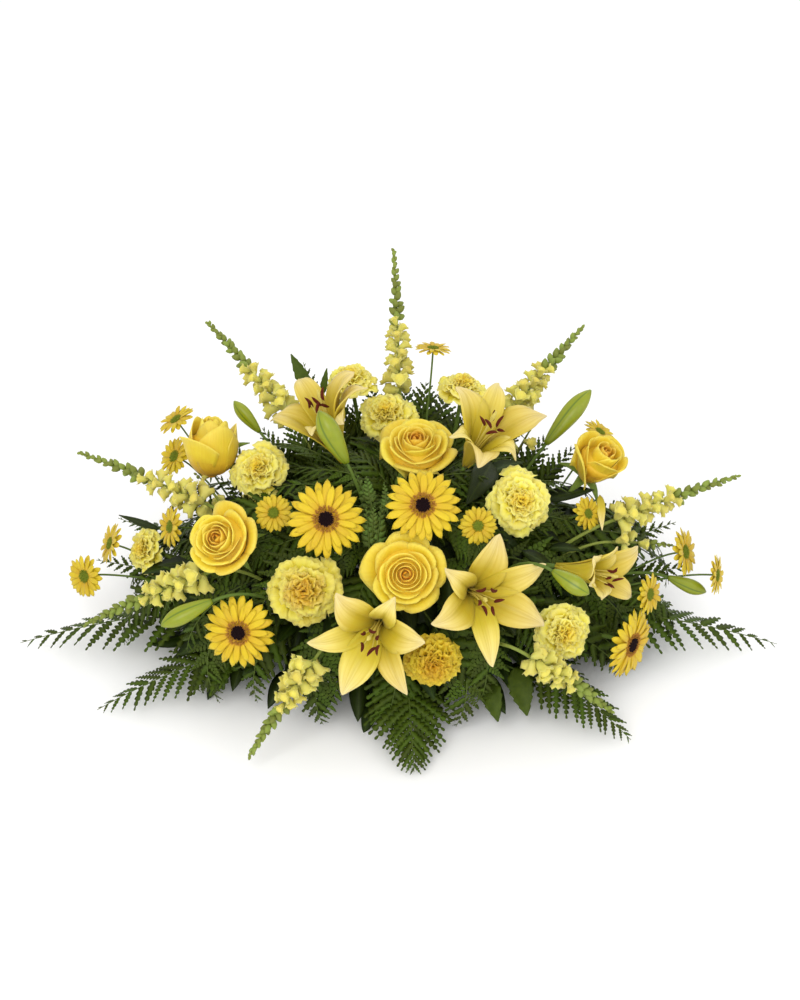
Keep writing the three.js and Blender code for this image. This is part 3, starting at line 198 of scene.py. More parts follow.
# The share of a rim frond that has the longer leaflets
CUT_SHARE = 0.66

# How far the foot lies behind the middle of a flower, as a share of its width
FOOT_SHARE = {"rose": 0.24, "gerbera": 0.1, "carnation": 0.26, "pompon": 0.26, "daisy": 0.12}
NEAR_PARALLEL = 0.9


def vec(*numbers):
    return np.array(numbers, float)


def unit(vector):
    return vector / np.linalg.norm(vector)


RIGHT = vec(1, 0, 0)
UP = vec(0, math.sin(TILT), math.cos(TILT))
TOWARD = vec(0, -math.cos(TILT), math.sin(TILT))
MIDDLE = RIGHT * (MIDDLE_COLUMN - FOOT_COLUMN) * UNIT + UP * (FOOT_ROW - MIDDLE_ROW) * UNIT


def sight_line(column, row):
    """Where the sight line through a column and row crosses the drawing, and its run per mm nearer."""
    across = RIGHT * (column - MIDDLE_COLUMN) * UNIT + UP * (MIDDLE_ROW - row) * UNIT
    return MIDDLE + across, TOWARD - across / DISTANCE


def spot(column, row, near):
    start, run = sight_line(column, row)
    return start + run * near


def nearness(point):
    return (point - MIDDLE) @ TOWARD


def spot_at_height(column, row, height):
    start, run = sight_line(column, row)
    return start + run * (height - start[2]) / run[2]


def spot_on_mound(column, row, lift):
    """Where the sight line meets the mound, or comes closest to it."""
    start, run = sight_line(column, row)
    sizes = vec(*MOUND_SIZE)
    source = (start - vec(0, 0, MOUND_BASE)) / sizes
    step = run / sizes
    a = step @ step
    b = source @ step
    root = max(0, b * b - a * (source @ source - 1))
    return start + run * ((math.sqrt(root) - b) / a + lift)


def facing(right, up):
    toward = math.sqrt(max(0, 1 - right * right - up * up))
    return unit(RIGHT * right + UP * up + TOWARD * toward)


def flower_frame(foot, axis, spin=0.0):
    """Turns a flower's own frame into its place: z out of its face, spin in degrees."""
    z = unit(axis)
    hint = UP if abs(z[0]) > NEAR_PARALLEL else RIGHT
    x = unit(hint - z * (hint @ z))
    y = np.cross(z, x)
    turn = math.radians(spin)
    place = np.eye(4)
    place[:3, 0] = x * math.cos(turn) + y * math.sin(turn)
    place[:3, 1] = y * math.cos(turn) - x * math.sin(turn)
    place[:3, 2] = z
    place[:3, 3] = foot
    return place


def bloom_frame(kind, bloom, spin=0.0):
    """The place of a flower of the tables or of the back."""
    if bloom.name in BACK_BLOOMS:
        foot, axis, _ = BACK_BLOOMS[bloom.name]
        return flower_frame(vec(*foot), vec(*axis), spin)
    axis = facing(bloom.right, bloom.up)
    return flower_frame(bloom_spot(bloom) - axis * bloom.width * FOOT_SHARE[kind], axis, spin)


def bloom_spot(bloom):
    return spot_on_mound(bloom.column, bloom.row, bloom.lift)


def back_bloom(name):
    return Bloom(name, 0, 0, BACK_BLOOMS[name][2], 0, 0, 0)


ROSES += [back_bloom("rose_back")]
CARNATIONS += [back_bloom("carnation_back_left"), back_bloom("carnation_back_right")]


def smooth_line(stations, count):
    """Evenly spread rows on a smooth line through the stations."""
    stations = np.array(stations, float)
    first = 2 * stations[0] - stations[1]
    last = 2 * stations[-1] - stations[-2]
    padded = np.vstack([first, stations, last])
    place = np.linspace(0, len(stations) - 1, count)
    low = np.minimum(place.astype(int), len(stations) - 2)
    t = (place - low)[:, None]
    a, b, c, d = (padded[low + k] for k in range(4))
    return 0.5 * (2 * b + (c - a) * t + (2 * a - 5 * b + 4 * c - d) * t**2 + (3 * b - a - 3 * c + d) * t**3)


def put(points, place):
    return points @ place[:3, :3].T + place[:3, 3]


def stacked(x, y, z):
    return np.stack(np.broadcast_arrays(x, y, z), axis=-1)


def round_turns(count):
    return np.linspace(0, 2 * np.pi, count, endpoint=False)


def map_of(across, along):
    """The map of a net of points: for each of them its share across and along."""
    u, v = np.meshgrid(across, along)
    return np.stack([u.ravel(), v.ravel()], -1)


def read(items, name, width, kind=np.float32):
    """One value of a mesh for all of its points, corners or faces."""
    values = np.zeros(len(items) * width, kind)
    items.foreach_get(name, values)
    values = values.astype(float) if kind == np.float32 else values
    return values.reshape(-1, width) if width > 1 else values


class Pile:
    """Closed sheets, skins, tubes, pillows and finished meshes, gathered to become one mesh."""

    def __init__(self):
        self.materials = []
        self.count = 0
        # Points, faces' corners and their number, maps, slots, smooth faces, tints and layers
        self.lists = [[] for _ in range(8)]

    def slot_of(self, material):
        if material not in self.materials:
            self.materials.append(material)
        return self.materials.index(material)

    def add(self, points, corners, sizes, uvs, slots, smooths, tint, layer):
        looks = [np.broadcast_to(look, len(sizes)) for look in (slots, smooths)]
        marks = [np.broadcast_to(mark, len(points)) for mark in (tint, layer)]
        for rows, more in zip(self.lists, (points, corners + self.count, sizes, uvs, *looks, *marks)):
            rows.append(more)
        self.count += len(points)

    def sheet(self, points, thick, material, tint=0.5, layer=0.5):
        """A closed sheet from rows and columns of points: its top faces along (across) x (along)."""
        rows, columns = points.shape[:2]
        normal = np.cross(np.gradient(points, axis=1), np.gradient(points, axis=0))
        normal /= np.maximum(np.linalg.norm(normal, axis=2, keepdims=True), 1e-9)
        half = normal * np.broadcast_to(np.reshape(thick, (-1, 1)), (rows, columns))[..., None] / 2
        top = np.arange(rows * columns).reshape(rows, columns)
        low = top + rows * columns
        tops = np.stack([top[:-1, :-1], top[:-1, 1:], top[1:, 1:], top[1:, :-1]], -1).reshape(-1, 4)
        rims = (
            (top[0, :-1], low[0, :-1], low[0, 1:], top[0, 1:]),
            (top[:-1, -1], low[:-1, -1], low[1:, -1], top[1:, -1]),
            (top[-1, :-1], top[-1, 1:], low[-1, 1:], low[-1, :-1]),
            (top[:-1, 0], top[1:, 0], low[1:, 0], low[:-1, 0]),
        )
        faces = np.concatenate([tops, tops[:, ::-1] + rows * columns, *(np.stack(rim, -1) for rim in rims)])
        uvs = np.tile(map_of(np.linspace(0, 1, columns), np.linspace(0, 1, rows)), (2, 1))
        self.add(
            np.concatenate([(points + half).reshape(-1, 3), (points - half).reshape(-1, 3)]),
            faces.ravel(), np.full(len(faces), 4), uvs[faces.ravel()], self.slot_of(material),
            np.arange(len(faces)) < 2 * len(tops), tint, layer,
        )

    def skin(self, rings, material, tint=0.5, layer=0.5, across=None):
        """A closed body from rings of points, each counterclockwise seen from the next one."""
        count, columns = rings.shape[:2]
        across = np.arange(columns) / columns if across is None else across
        index = np.arange(count * columns).reshape(count, columns)
        after = np.roll(index, -1, axis=1)
        sides = np.stack([index[:-1], after[:-1], after[1:], index[1:]], -1).reshape(-1)
        corners = np.concatenate([sides, index[0, ::-1], index[-1]])
        sizes = np.concatenate([np.full((count - 1) * columns, 4), [columns, columns]])
        uvs = map_of(across, np.linspace(0, 1, count))[corners]
        self.add(rings.reshape(-1, 3), corners, sizes, uvs, self.slot_of(material), True, tint, layer)

    def tube(self, path, radii, material, sides=6, tint=0.5):
        """A round body along a path, thick as its radii say."""
        ahead = np.gradient(path, axis=0)
        ahead /= np.linalg.norm(ahead, axis=1, keepdims=True)
        side = vec(0, 0, 1) if abs(ahead[0][2]) < NEAR_PARALLEL else RIGHT
        turns = round_turns(sides)[:, None]
        rings = []
        for point, direction, radius in zip(path, ahead, radii):
            side = unit(side - direction * (side @ direction))
            other = np.cross(direction, side)
            rings.append(point + radius * (np.cos(turns) * side + np.sin(turns) * other))
        self.skin(np.array(rings), material, tint)

    def pillow(self, outline, thick, material):
        """A small leaf as a closed lens: its outline counterclockwise seen from the top, its middle thick."""
        count = len(outline)
        middle = outline.mean(axis=0)
        normal = unit(np.cross(outline[count // 3] - outline[0], outline[2 * count // 3] - outline[0]))
        points = np.vstack([outline, middle + normal * thick / 2, middle - normal * thick / 2])
        here = np.arange(count)
        after = np.roll(here, -1)
        top = np.stack([here, after, np.full(count, count)], -1)
        bottom = np.stack([after, here, np.full(count, count + 1)], -1)
        corners = np.concatenate([top, bottom]).ravel()
        sizes = np.full(2 * count, 3)
        self.add(points, corners, sizes, np.zeros((len(corners), 2)), self.slot_of(material), False, 0.5, 0.5)

    def mesh(self, mesh, place=None):
        """A finished mesh, which isn't needed afterwards."""
        points = read(mesh.vertices, "co", 3)
        points = points if place is None else put(points, place)
        corners = read(mesh.loops, "vertex_index", 1, np.int32)
        sizes = read(mesh.polygons, "loop_total", 1, np.int32)
        slots = read(mesh.polygons, "material_index", 1, np.int32)
        smooths = read(mesh.polygons, "use_smooth", 1, bool)
        own = np.array([self.slot_of(material.name) for material in mesh.materials])
        uvs = np.zeros((len(corners), 2))
        if "UVMap" in mesh.attributes:
            uvs = read(mesh.attributes["UVMap"].data, "vector", 2)
        marks = [
            read(mesh.attributes[mark].data, "value", 1) if mark in mesh.attributes else 0.5 for mark in MARKS
        ]
        self.add(points, corners, sizes, uvs, own[slots], smooths, *marks)
        bpy.data.meshes.remove(mesh)

    def build(self, name, scale=MM, marked=True):
        """Makes the mesh, in metres unless it is a part for a node tree."""
        points, corners, sizes, uvs, slots, smooths, *marks = (np.concatenate(rows) for rows in self.lists)
        mesh = bpy.data.meshes.new(name)
        mesh.vertices.add(len(points))
        mesh.loops.add(len(corners))
        mesh.polygons.add(len(sizes))
        mesh.vertices.foreach_set("co", (points * scale).astype(np.float32).ravel())
        mesh.loops.foreach_set("vertex_index", corners.astype(np.int32))
        mesh.polygons.foreach_set("loop_start", (np.cumsum(sizes) - sizes).astype(np.int32))
        mesh.polygons.foreach_set("material_index", slots.astype(np.int32))
        mesh.update(calc_edges=True)
        mesh.polygons.foreach_set("use_smooth", smooths)
        mesh.uv_layers.new(name="UVMap").data.foreach_set("uv", uvs.astype(np.float32).ravel())
        for mark, values in zip(MARKS, marks) if marked else ():
            attribute = mesh.attributes.new(mark, "FLOAT", "POINT")
            attribute.data.foreach_set("value", values.astype(np.float32))
        for material in self.materials:
            mesh.materials.append(finish(material))
        mesh.validate()
        return mesh

    def part(self, name):
        """An object for a node tree to place, which is removed once the trees have run."""
        return bpy.data.objects.new(name, self.build(name, scale=1, marked=False))

    def piece(self, name, slot, *nodes):
        """Makes one object of the spray, in place of its frame nodes, that nowhere dips under the floor."""
        points = np.concatenate(self.lists[0])
        low = points[:, 2] < FLOOR_CLEAR
        points[low, 2] = FLOOR_CLEAR * np.exp(points[low, 2] / FLOOR_CLEAR - 1)
        self.lists[0] = [points]
        obj = bpy.data.objects.new(name, self.build(name))
        bpy.context.scene.collection.objects.link(obj)
        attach(obj, "root")
        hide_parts(*nodes)


class Term:
    """A number, vector or other value that flows through a node tree."""

    def __init__(self, graph, socket):
        self.graph = graph
        self.socket = socket

    def __add__(self, other):
        return self.graph.math("ADD", self, other)

    def __sub__(self, other):
        return self.graph.math("SUBTRACT", self, other)

    def __rsub__(self, other):
        return self.graph.math("SUBTRACT", other, self)

    def __mul__(self, other):
        return self.graph.math("MULTIPLY", self, other)

    def __truediv__(self, other):
        return self.graph.math("DIVIDE", self, other)

    def cross(self, other):
        return self.graph.math("CROSS_PRODUCT", self, other)


def is_vector(value):
    return value.socket.type == "VECTOR" if isinstance(value, Term) else isinstance(value, tuple)


def spelt(values):
    """Names as sockets have them, with spaces for underscores."""
    return {name.replace("_", " "): value for name, value in values.items()}


class Graph:
    """Adds nodes to a tree. The group's own inputs are given by name."""

    def __init__(self, tree):
        self.tree = tree
        self.given = {}

    def node(self, kind, sockets=None, **settings):
        """A node with these settings, its sockets linked or set by name or number."""
        node = self.tree.nodes.new(kind)
        for name, value in settings.items():
            setattr(node, name, value)
        for key, value in (sockets or {}).items():
            if isinstance(value, Term):
                self.tree.links.new(value.socket, node.inputs[key])
            else:
                node.inputs[key].default_value = value
        return node

    def add(self, kind, sockets=None, out=0, **settings):
        """What a new node puts out, the first of its outputs unless another is asked for."""
        return Term(self, self.node(kind, sockets, **settings).outputs[out])

    def pair(self, kind, sockets, outs, **settings):
        node = self.node(kind, sockets, **settings)
        return [Term(self, node.outputs[out]) for out in outs]

    def math(self, operation, *values):
        """A sum, product or function of numbers, or of vectors where one of the values is a vector."""
        vectors = [is_vector(value) for value in values]
        if operation == "MULTIPLY" and vectors == [True, False]:
            sockets = {0: values[0], "Scale": values[1]}
            return self.add("ShaderNodeVectorMath", sockets, operation="SCALE")
        kind = "ShaderNodeVectorMath" if any(vectors) else "ShaderNodeMath"
        return self.add(kind, dict(enumerate(values)), operation=operation)

    def turn(self, angle):
        return self.math("COSINE", angle), self.math("SINE", angle)

    def combine(self, x, y, z):
        return self.add("ShaderNodeCombineXYZ", {0: x, 1: y, 2: z})

    def apart(self, vector):
        return self.pair("ShaderNodeSeparateXYZ", {0: vector}, (0, 1))

    def blend(self, share, low, high, first=0.0, last=1.0):
        """From low to high while the share goes from first to last."""
        return self.add("ShaderNodeMapRange", {0: share, 1: first, 2: last, 3: low, 4: high})

    def mix(self, share, first, second):
        return self.add("ShaderNodeMix", {0: share, 6: first, 7: second}, 2, data_type="RGBA")

    def index(self):
        return self.add("GeometryNodeInputIndex")

    def chance(self, low, high, number):
        """A random value for each point, drawn from the tree's seed."""
        sockets = {2: low, 3: high, 7: self.index(), 8: self.given["Seed"] + number}
        return self.add("FunctionNodeRandomValue", sockets, 1)

    def end(self, value):
        self.node("NodeGroupOutput", {0: value})
        return self.tree

    def finished(self, geometry, material):
        """Every tree ends in plain geometry with its material."""
        geometry = self.add("GeometryNodeRealizeInstances", {"Geometry": geometry})
        return self.add("GeometryNodeSetMaterial", {"Geometry": geometry, "Material": material})

    def copies(self, count, place, source, rotation, scale, material, layer, chosen=True):
        """Sets copies of an object on points, each with its own tint, and makes them one mesh."""
        points = self.add("GeometryNodePoints", {"Count": count, "Position": place})
        sockets = {
            "Points": points, "Selection": chosen, "Rotation": rotation, "Scale": scale,
            "Instance": self.add("GeometryNodeObjectInfo", {"Object": source}, "Geometry"),
        }
        geometry = self.add("GeometryNodeInstanceOnPoints", sockets)
        for name, value in zip(MARKS, (self.chance(0.0, 1.0, 9), layer)):
            sockets = {"Geometry": geometry, "Name": name, "Value": value}
            geometry = self.add("GeometryNodeStoreNamedAttribute", sockets, domain="INSTANCE")
        return self.finished(geometry, material)

    def bent_curve(self):
        """The curve of a frond or a spire, from its start over its bend to its tip."""
        given = self.given
        sockets = {"Resolution": 24, "Start": given["Start"], "Middle": given["Bend"], "End": given["Tip"]}
        return self.add("GeometryNodeCurveQuadraticBezier", sockets)

    def along(self, curve, share):
        """Places on a curve, and the way ahead there."""
        sockets = {"Curves": curve, "Factor": share}
        return self.pair("GeometryNodeSampleCurve", sockets, ("Position", "Tangent"), mode="FACTOR")

    def tapered_tube(self, curve, radius, end_share, material):
        """A closed round stem along a curve, thinner towards its end."""
        profile = self.add("GeometryNodeCurvePrimitiveCircle", {"Resolution": STEM_SIDES, 4: radius})
        scale = self.blend(self.add("GeometryNodeSplineParameter", out="Factor"), 1.0, end_share)
        sockets = {"Curve": curve, "Profile Curve": profile, "Scale": scale, "Fill Caps": True}
        return self.finished(self.add("GeometryNodeCurveToMesh", sockets), material)

    def aimed(self, reach, up):
        """Turns a copy so that its x lies along reach and its z as near up as can be."""
        sockets = {"Primary Axis": reach, "Secondary Axis": up}
        return self.add("FunctionNodeAxesToRotation", sockets, primary_axis="X", secondary_axis="Z")

    def joined(self, *parts):
        node = self.node("GeometryNodeJoinGeometry")
        for part in reversed(parts):
            self.tree.links.new(part.socket, node.inputs[0])
        return Term(self, node.outputs[0])


def start_tree(name, inputs, output="Geometry"):
    """Starts a node group. Its inputs have a default, or else the word Object or Material."""
    kinds = ("GeometryNodeTree", "Geometry") if output == "Geometry" else ("ShaderNodeTree", "Float")
    tree = bpy.data.node_groups.new(name, kinds[0])
    tree.interface.new_socket(output, in_out="OUTPUT", socket_type=f"NodeSocket{kinds[1]}")
    for label, default in inputs.items():
        kind = {int: "Int", float: "Float", tuple: "Vector"}.get(type(default), default)
        socket = tree.interface.new_socket(label, in_out="INPUT", socket_type=f"NodeSocket{kind}")
        if kind != default:
            socket.default_value = default
    graph = Graph(tree)
    graph.given = {socket.name: Term(graph, socket) for socket in graph.node("NodeGroupInput").outputs}
    return graph, graph.given


def spiral_head_tree():
    """Petals or florets on a spiral round the flower's axis, from the heart out to the rim."""
    graph, given = start_tree("Spiral head", {
        "Petal": "Object", "Finish": "Material", "Count": 20, "Turn": GOLDEN_TURN, "Start": 0.0,
        "Offset": 0.5, "Crowding": 1.0, "Inner radius": 0.0, "Outer radius": 0.0, "Inner height": 0.0,
        "Outer height": 0.0, "Inner tilt": 0.0, "Outer tilt": 0.0, "Inner scale": 1.0, "Outer scale": 1.0,
        "Uneven": 0.1, "First layer": 0.0, "Last layer": 1.0, "Seed": 0,
    })
    index = graph.index()
    spread = graph.math("POWER", (index + given["Offset"]) / given["Count"], given["Crowding"])
    uneven = given["Uneven"]

    def between(what):
        return graph.blend(spread, given[f"Inner {what}"], given[f"Outer {what}"])

    angle = index * given["Turn"] + given["Start"] + graph.chance(-1.0, 1.0, 1) * uneven
    flat, side = graph.turn(angle)
    radius = between("radius")
    place = graph.combine(radius * flat, radius * side, between("height"))
    tilt = graph.chance(-1.4, 1.4, 2) * uneven + between("tilt")
    euler = graph.combine(graph.chance(-2.0, 2.0, 3) * uneven, tilt * -1.0, angle)
    rotation = graph.add("FunctionNodeEulerToRotation", {0: euler})
    size = between("scale") * (graph.chance(-1.0, 0.6, 4) * uneven + 1.0)
    layer = graph.blend(spread, given["First layer"], given["Last layer"])
    return graph.end(
        graph.copies(given["Count"], place, given["Petal"], rotation, size, given["Finish"], layer)
    )


def frond_tree():
    """A fern frond: a rib along a curve and leaflets on both sides, long at its base and short at its tip."""
    graph, given = start_tree("Fern frond", {
        "Leaflet": "Object", "Tip leaflet": "Object", "Leaf finish": "Material", "Rib finish": "Material",
        "Start": ORIGIN, "Bend": ORIGIN, "Tip": ORIGIN, "Up": (0, 0, 1), "Pairs": 12, "Bare stalk": 0.3,
        "Cut share": 0.66, "Width": 120.0, "Lean": 0.62, "Droop": 0.14, "Rib radius": 1.4, "Seed": 0,
    })
    curve = graph.bent_curve()
    parts = [graph.tapered_tube(curve, given["Rib radius"], 0.25, given["Rib finish"])]
    index = graph.index()
    count = given["Pairs"] * 2.0
    share = (index + 0.6) / count
    bare = given["Bare stalk"]
    place, ahead = graph.along(curve, share * (0.985 - bare) + bare)
    side = graph.math("NORMALIZE", ahead.cross(given["Up"]))
    normal = side.cross(ahead)
    sign = graph.math("MODULO", index, 2.0) * 2.0 - 1.0
    flat, steep = graph.turn(share * 0.35 + given["Lean"] + graph.chance(-0.07, 0.07, 1))
    sink = (given["Droop"] + graph.chance(-0.12, 0.1, 2)) * -1.0
    reach = side * (sign * flat) + ahead * steep + normal * sink
    rotation = graph.aimed(reach, normal + ahead * graph.chance(-0.3, 0.3, 3))
    swell = graph.blend(share, 0.62, 1.0, 0.0, 0.16)
    narrow = graph.math("POWER", 1.03 - share, 0.68)
    length = swell * narrow * given["Width"] * graph.chance(0.5, 0.58, 4)
    cut = graph.math("LESS_THAN", share, given["Cut share"])
    for leaf, chosen in (("Leaflet", cut), ("Tip leaflet", 1.0 - cut)):
        look = given["Leaf finish"]
        parts.append(graph.copies(count, place, given[leaf], rotation, length, look, share, chosen))
    return graph.end(graph.joined(*parts))


def cover_tree():
    """Leaves all over the mound under the flowers, pointing outwards and down at uneven angles."""
    graph, given = start_tree("Leaf cover", {
        "Leaf": "Object", "Finish": "Material", "Count": 300, "Across": 250.0, "Deep": 140.0, "High": 180.0,
        "Back": 0.0, "Base": 20.0, "Steepest": 0.97, "Start": 0.0, "Length": 60.0, "Uneven": 0.5,
        "Stand": 0.3, "Seed": 0,
    })
    index = graph.index()
    share = (index + 0.5) / given["Count"]
    rise = share * given["Steepest"]
    flat = graph.math("SQRT", 1.0 - rise * rise)
    cosine, sine = graph.turn(index * GOLDEN_TURN + given["Start"])
    x = flat * cosine
    y = flat * sine
    out = graph.combine(x, y, rise)
    mound = graph.combine(given["Across"], given["Deep"], given["High"])
    place = out * mound * graph.chance(0.86, 1.0, 1) + graph.combine(0.0, given["Back"], given["Base"])
    wild = graph.combine(*(graph.chance(-1.0, 1.0, number) for number in (2, 3, 4)))
    down = graph.combine(x, y, rise * -1.0 + graph.chance(-0.7, 0.5, 5))
    rotation = graph.aimed(wild * given["Uneven"] + down + out * given["Stand"], out + wild * 0.35)
    length = given["Length"] * graph.chance(0.7, 1.15, 6)
    return graph.end(
        graph.copies(given["Count"], place, given["Leaf"], rotation, length, given["Finish"], share)
    )


def spire_tree():
    """A snapdragon: a stem with open florets low down, then buds that shrink towards the tip."""
    graph, given = start_tree("Snapdragon spire", {
        "Floret": "Object", "Calyx": "Object", "Bud": "Object", "Petal finish": "Material",
        "Green finish": "Material", "Start": ORIGIN, "Bend": ORIGIN, "Tip": ORIGIN, "Florets": 13,
        "Buds": 30, "Floret share": 0.46, "Floret length": 22.0, "Bud length": 14.0, "Stem radius": 2.0,
        "Seed": 0,
    })
    curve = graph.bent_curve()
    green = given["Green finish"]
    parts = [graph.tapered_tube(curve, given["Stem radius"], 0.3, green)]

    def row(count, first, last, sources, length, shrink, rise, seed):
        index = graph.index()
        share = (index + 0.5) / count
        place, ahead = graph.along(curve, graph.blend(share, first, last))
        side = graph.math("NORMALIZE", ahead.cross((0.31, 0.95, 0.05)))
        cosine, sine = graph.turn(index * GOLDEN_TURN + graph.chance(-0.25, 0.25, seed))
        out = side * cosine + ahead.cross(side) * sine
        flat, steep = graph.turn(graph.blend(share, *rise) + graph.chance(-0.15, 0.15, seed + 1))
        rotation = graph.aimed(out * flat + ahead * steep, ahead)
        size = graph.blend(share, 1.0, shrink) * length * graph.chance(0.88, 1.08, seed + 2)
        for source, material in sources:
            parts.append(graph.copies(count, place, given[source], rotation, size, material, share))

    opened = given["Floret share"]
    florets = [("Floret", given["Petal finish"]), ("Calyx", green)]
    row(given["Florets"], 0.0, opened, florets, given["Floret length"], 0.66, (0.3, 0.6), 1)
    row(given["Buds"], opened, 0.99, [("Bud", green)], given["Bud length"], 0.42, (0.55, 1.15), 5)
    return graph.end(graph.joined(*parts))


def stem_tree():
    """A round stem that leaves the foam in one direction and meets its flower in another."""
    graph, given = start_tree("Stem", {
        "Finish": "Material", "Start": ORIGIN, "Leave": ORIGIN, "Arrive": ORIGIN, "Foot": ORIGIN,
        "Radius": 2.6, "End share": 0.8,
    })
    sockets = {
        "Resolution": 16, "Start": given["Start"], "Start Handle": given["Leave"],
        "End Handle": given["Arrive"], "End": given["Foot"],
    }
    curve = graph.add("GeometryNodeCurvePrimitiveBezierSegment", sockets, mode="POSITION")
    return graph.end(graph.tapered_tube(curve, given["Radius"], given["End share"], given["Finish"]))


def petal_streaks():
    """Fine lines that run along a petal, from its own map."""
    graph, given = start_tree("Petal streaks", {"Map": ORIGIN, "Lines": 24.0, "Bend": 1.0}, "Mask")
    across, along = graph.apart(given["Map"])
    place = graph.combine(across * given["Lines"], along * given["Bend"], 0.0)
    noise = graph.add("ShaderNodeTexNoise", {"Vector": place, "Scale": 1.0, "Detail": 2.0})
    return graph.end(graph.blend(noise, 0.0, 1.0, 0.3, 0.7))


def mottle():
    """Soft patches over a petal or a leaf, in the object's own space."""
    graph, given = start_tree("Mottle", {"Scale": 200.0, "Contrast": 0.25}, "Mask")
    place = graph.add("ShaderNodeTexCoord", out="Object")
    noise = graph.add("ShaderNodeTexNoise", {"Vector": place, "Scale": given["Scale"], "Detail": 3.0})
    return graph.end(graph.blend(noise, 0.0, 1.0, 0.5 - given["Contrast"], given["Contrast"] + 0.5))


TREES = {
    "Spiral head": spiral_head_tree,
    "Fern frond": frond_tree,
    "Leaf cover": cover_tree,
    "Snapdragon spire": spire_tree,
    "Stem": stem_tree,
    "Petal streaks": petal_streaks,
    "Mottle": mottle,
}


def tree_of(name):
    """The tree of that name, made when it is first asked for."""
    return bpy.data.node_groups.get(name) or TREES[name]()


def grow(pile, tree_name, place=None, **values):
    """Runs a Geometry Nodes tree with these values and adds the mesh it makes to the pile."""
    tree = tree_of(tree_name)
    carrier = bpy.data.objects.new("carrier", bpy.data.meshes.new("carrier"))
    bpy.context.scene.collection.objects.link(carrier)
    modifier = carrier.modifiers.new("tree", "NODES")
    modifier.node_group = tree
    inputs = {item.name: item.identifier for item in tree.interface.items_tree if item.in_out == "INPUT"}
    for name, value in spelt(values).items():
        if isinstance(value, np.ndarray):
            value = [float(number) for number in value]
        modifier[inputs[name]] = value
    view = bpy.context.evaluated_depsgraph_get()
    shape = carrier.evaluated_get(view)
    mesh = bpy.data.meshes.new_from_object(shape, preserve_all_data_layers=True, depsgraph=view)
    carrier.modifiers.remove(modifier)
    forget(carrier)
    pile.mesh(mesh, place)


def forget(*parts):
    """Removes objects that aren't pieces, once they aren't needed."""
    for part in parts:
        mesh = part.data
        bpy.data.objects.remove(part)
        bpy.data.meshes.remove(mesh)


# Finishes

def hex_colour(text):
    """A colour as Blender counts it, from the six figures of a paint chart."""
    shares = [int(text[i : i + 2], 16) / 255 for i in (0, 2, 4)]
    return (*[s / 12.92 if s <= 0.04045 else ((s + 0.055) / 1.055) ** 2.4 for s in shares], 1.0)


def use_group(graph, name, **sockets):
    return graph.add("ShaderNodeGroup", sockets, node_tree=tree_of(name))


def new_finish(name, *codes):
    """Starts a material, and gives its graph and its colours."""
    colours = [hex_colour(code) for code in codes]
    material = bpy.data.materials.new(name)
    material.use_nodes = True
    material.diffuse_color = colours[0]
    material.node_tree.nodes.clear()
    return Graph(material.node_tree), *colours


def principled(graph, colour, roughness, height, strength, distance, **values):
    bump = graph.add("ShaderNodeBump", {"Height": height, "Strength": strength, "Distance": distance})
    sockets = {"Base Color": colour, "Roughness": roughness, "Normal": bump}
    shader = graph.add("ShaderNodeBsdfPrincipled", {**sockets, **spelt(values)})
    graph.node("ShaderNodeOutputMaterial", {"Surface": shader})


def marks_of(graph):
    """The petal's own map, the shares across and along it, and its tint and layer."""
    place = graph.add("ShaderNodeUVMap", uv_map="UVMap")
    marks = [graph.add("ShaderNodeAttribute", out="Fac", attribute_name=name) for name in MARKS]
    return place, *graph.apart(place), *marks


def varied(graph, colour, tint, **ranges):
    """Moves the hue or the value of a colour between two ends, from petal to petal."""
    sockets = {name: graph.blend(tint, *ends) for name, ends in ranges.items()}
    return graph.add("ShaderNodeHueSaturation", {"Color": colour, **sockets})


# Petal looks: base, edge, heart and streak colours. The heart colour goes to the inner layers and to each
# petal's foot; it is partly the flower's own deeper heart and throat, partly painted shade in the crevices
# between petals.
Petal = namedtuple(
    "Petal", "base edge heart shade streaks lines edge_from heart_to roughness glow bump",
    defaults=(0.35, 26.0, 0.7, 0.4, 0.52, 0.12, 0.35),
)


def petal_finish(name, look):
    """Petal skin: base colour, edge colour towards its end, heart colour in the inner layers that is partly
    painted shade, fine lines.
    """
    graph, base, edge, heart, shade = new_finish(name, *look[:4])
    place, _, along, tint, layer = marks_of(graph)
    lines = use_group(graph, "Petal streaks", Map=place, Lines=look.lines)
    patches = use_group(graph, "Mottle", Scale=160.0)
    colour = graph.mix(graph.blend(along, 0.0, 1.0, look.edge_from, 1.0), base, edge)
    # Heart colour in the inner layers and at each petal's foot: partly the flower's own heart and throat
    # colour, partly painted shade in the crevices between petals
    inner = graph.blend(layer, 1.0, 0.0, 0.0, look.heart_to)
    foot = graph.blend(along, 0.75, 0.0, 0.0, 0.55)
    colour = graph.mix(graph.math("MAXIMUM", inner, foot), colour, heart)
    colour = graph.mix(lines * look.streaks, colour, shade)
    colour = varied(graph, colour, tint, Hue=(0.494, 0.506), Value=(0.93, 1.05))
    roughness = graph.blend(patches, look.roughness - 0.06, look.roughness + 0.08)
    principled(
        graph, colour, roughness, lines * 0.7 + patches * 0.5, look.bump, 0.0008,
        Subsurface_Weight=look.glow, Subsurface_Radius=(1.0, 0.8, 0.25), Subsurface_Scale=0.006,
        Sheen_Weight=0.05, Sheen_Roughness=0.5, Specular_IOR_Level=0.35,
    )


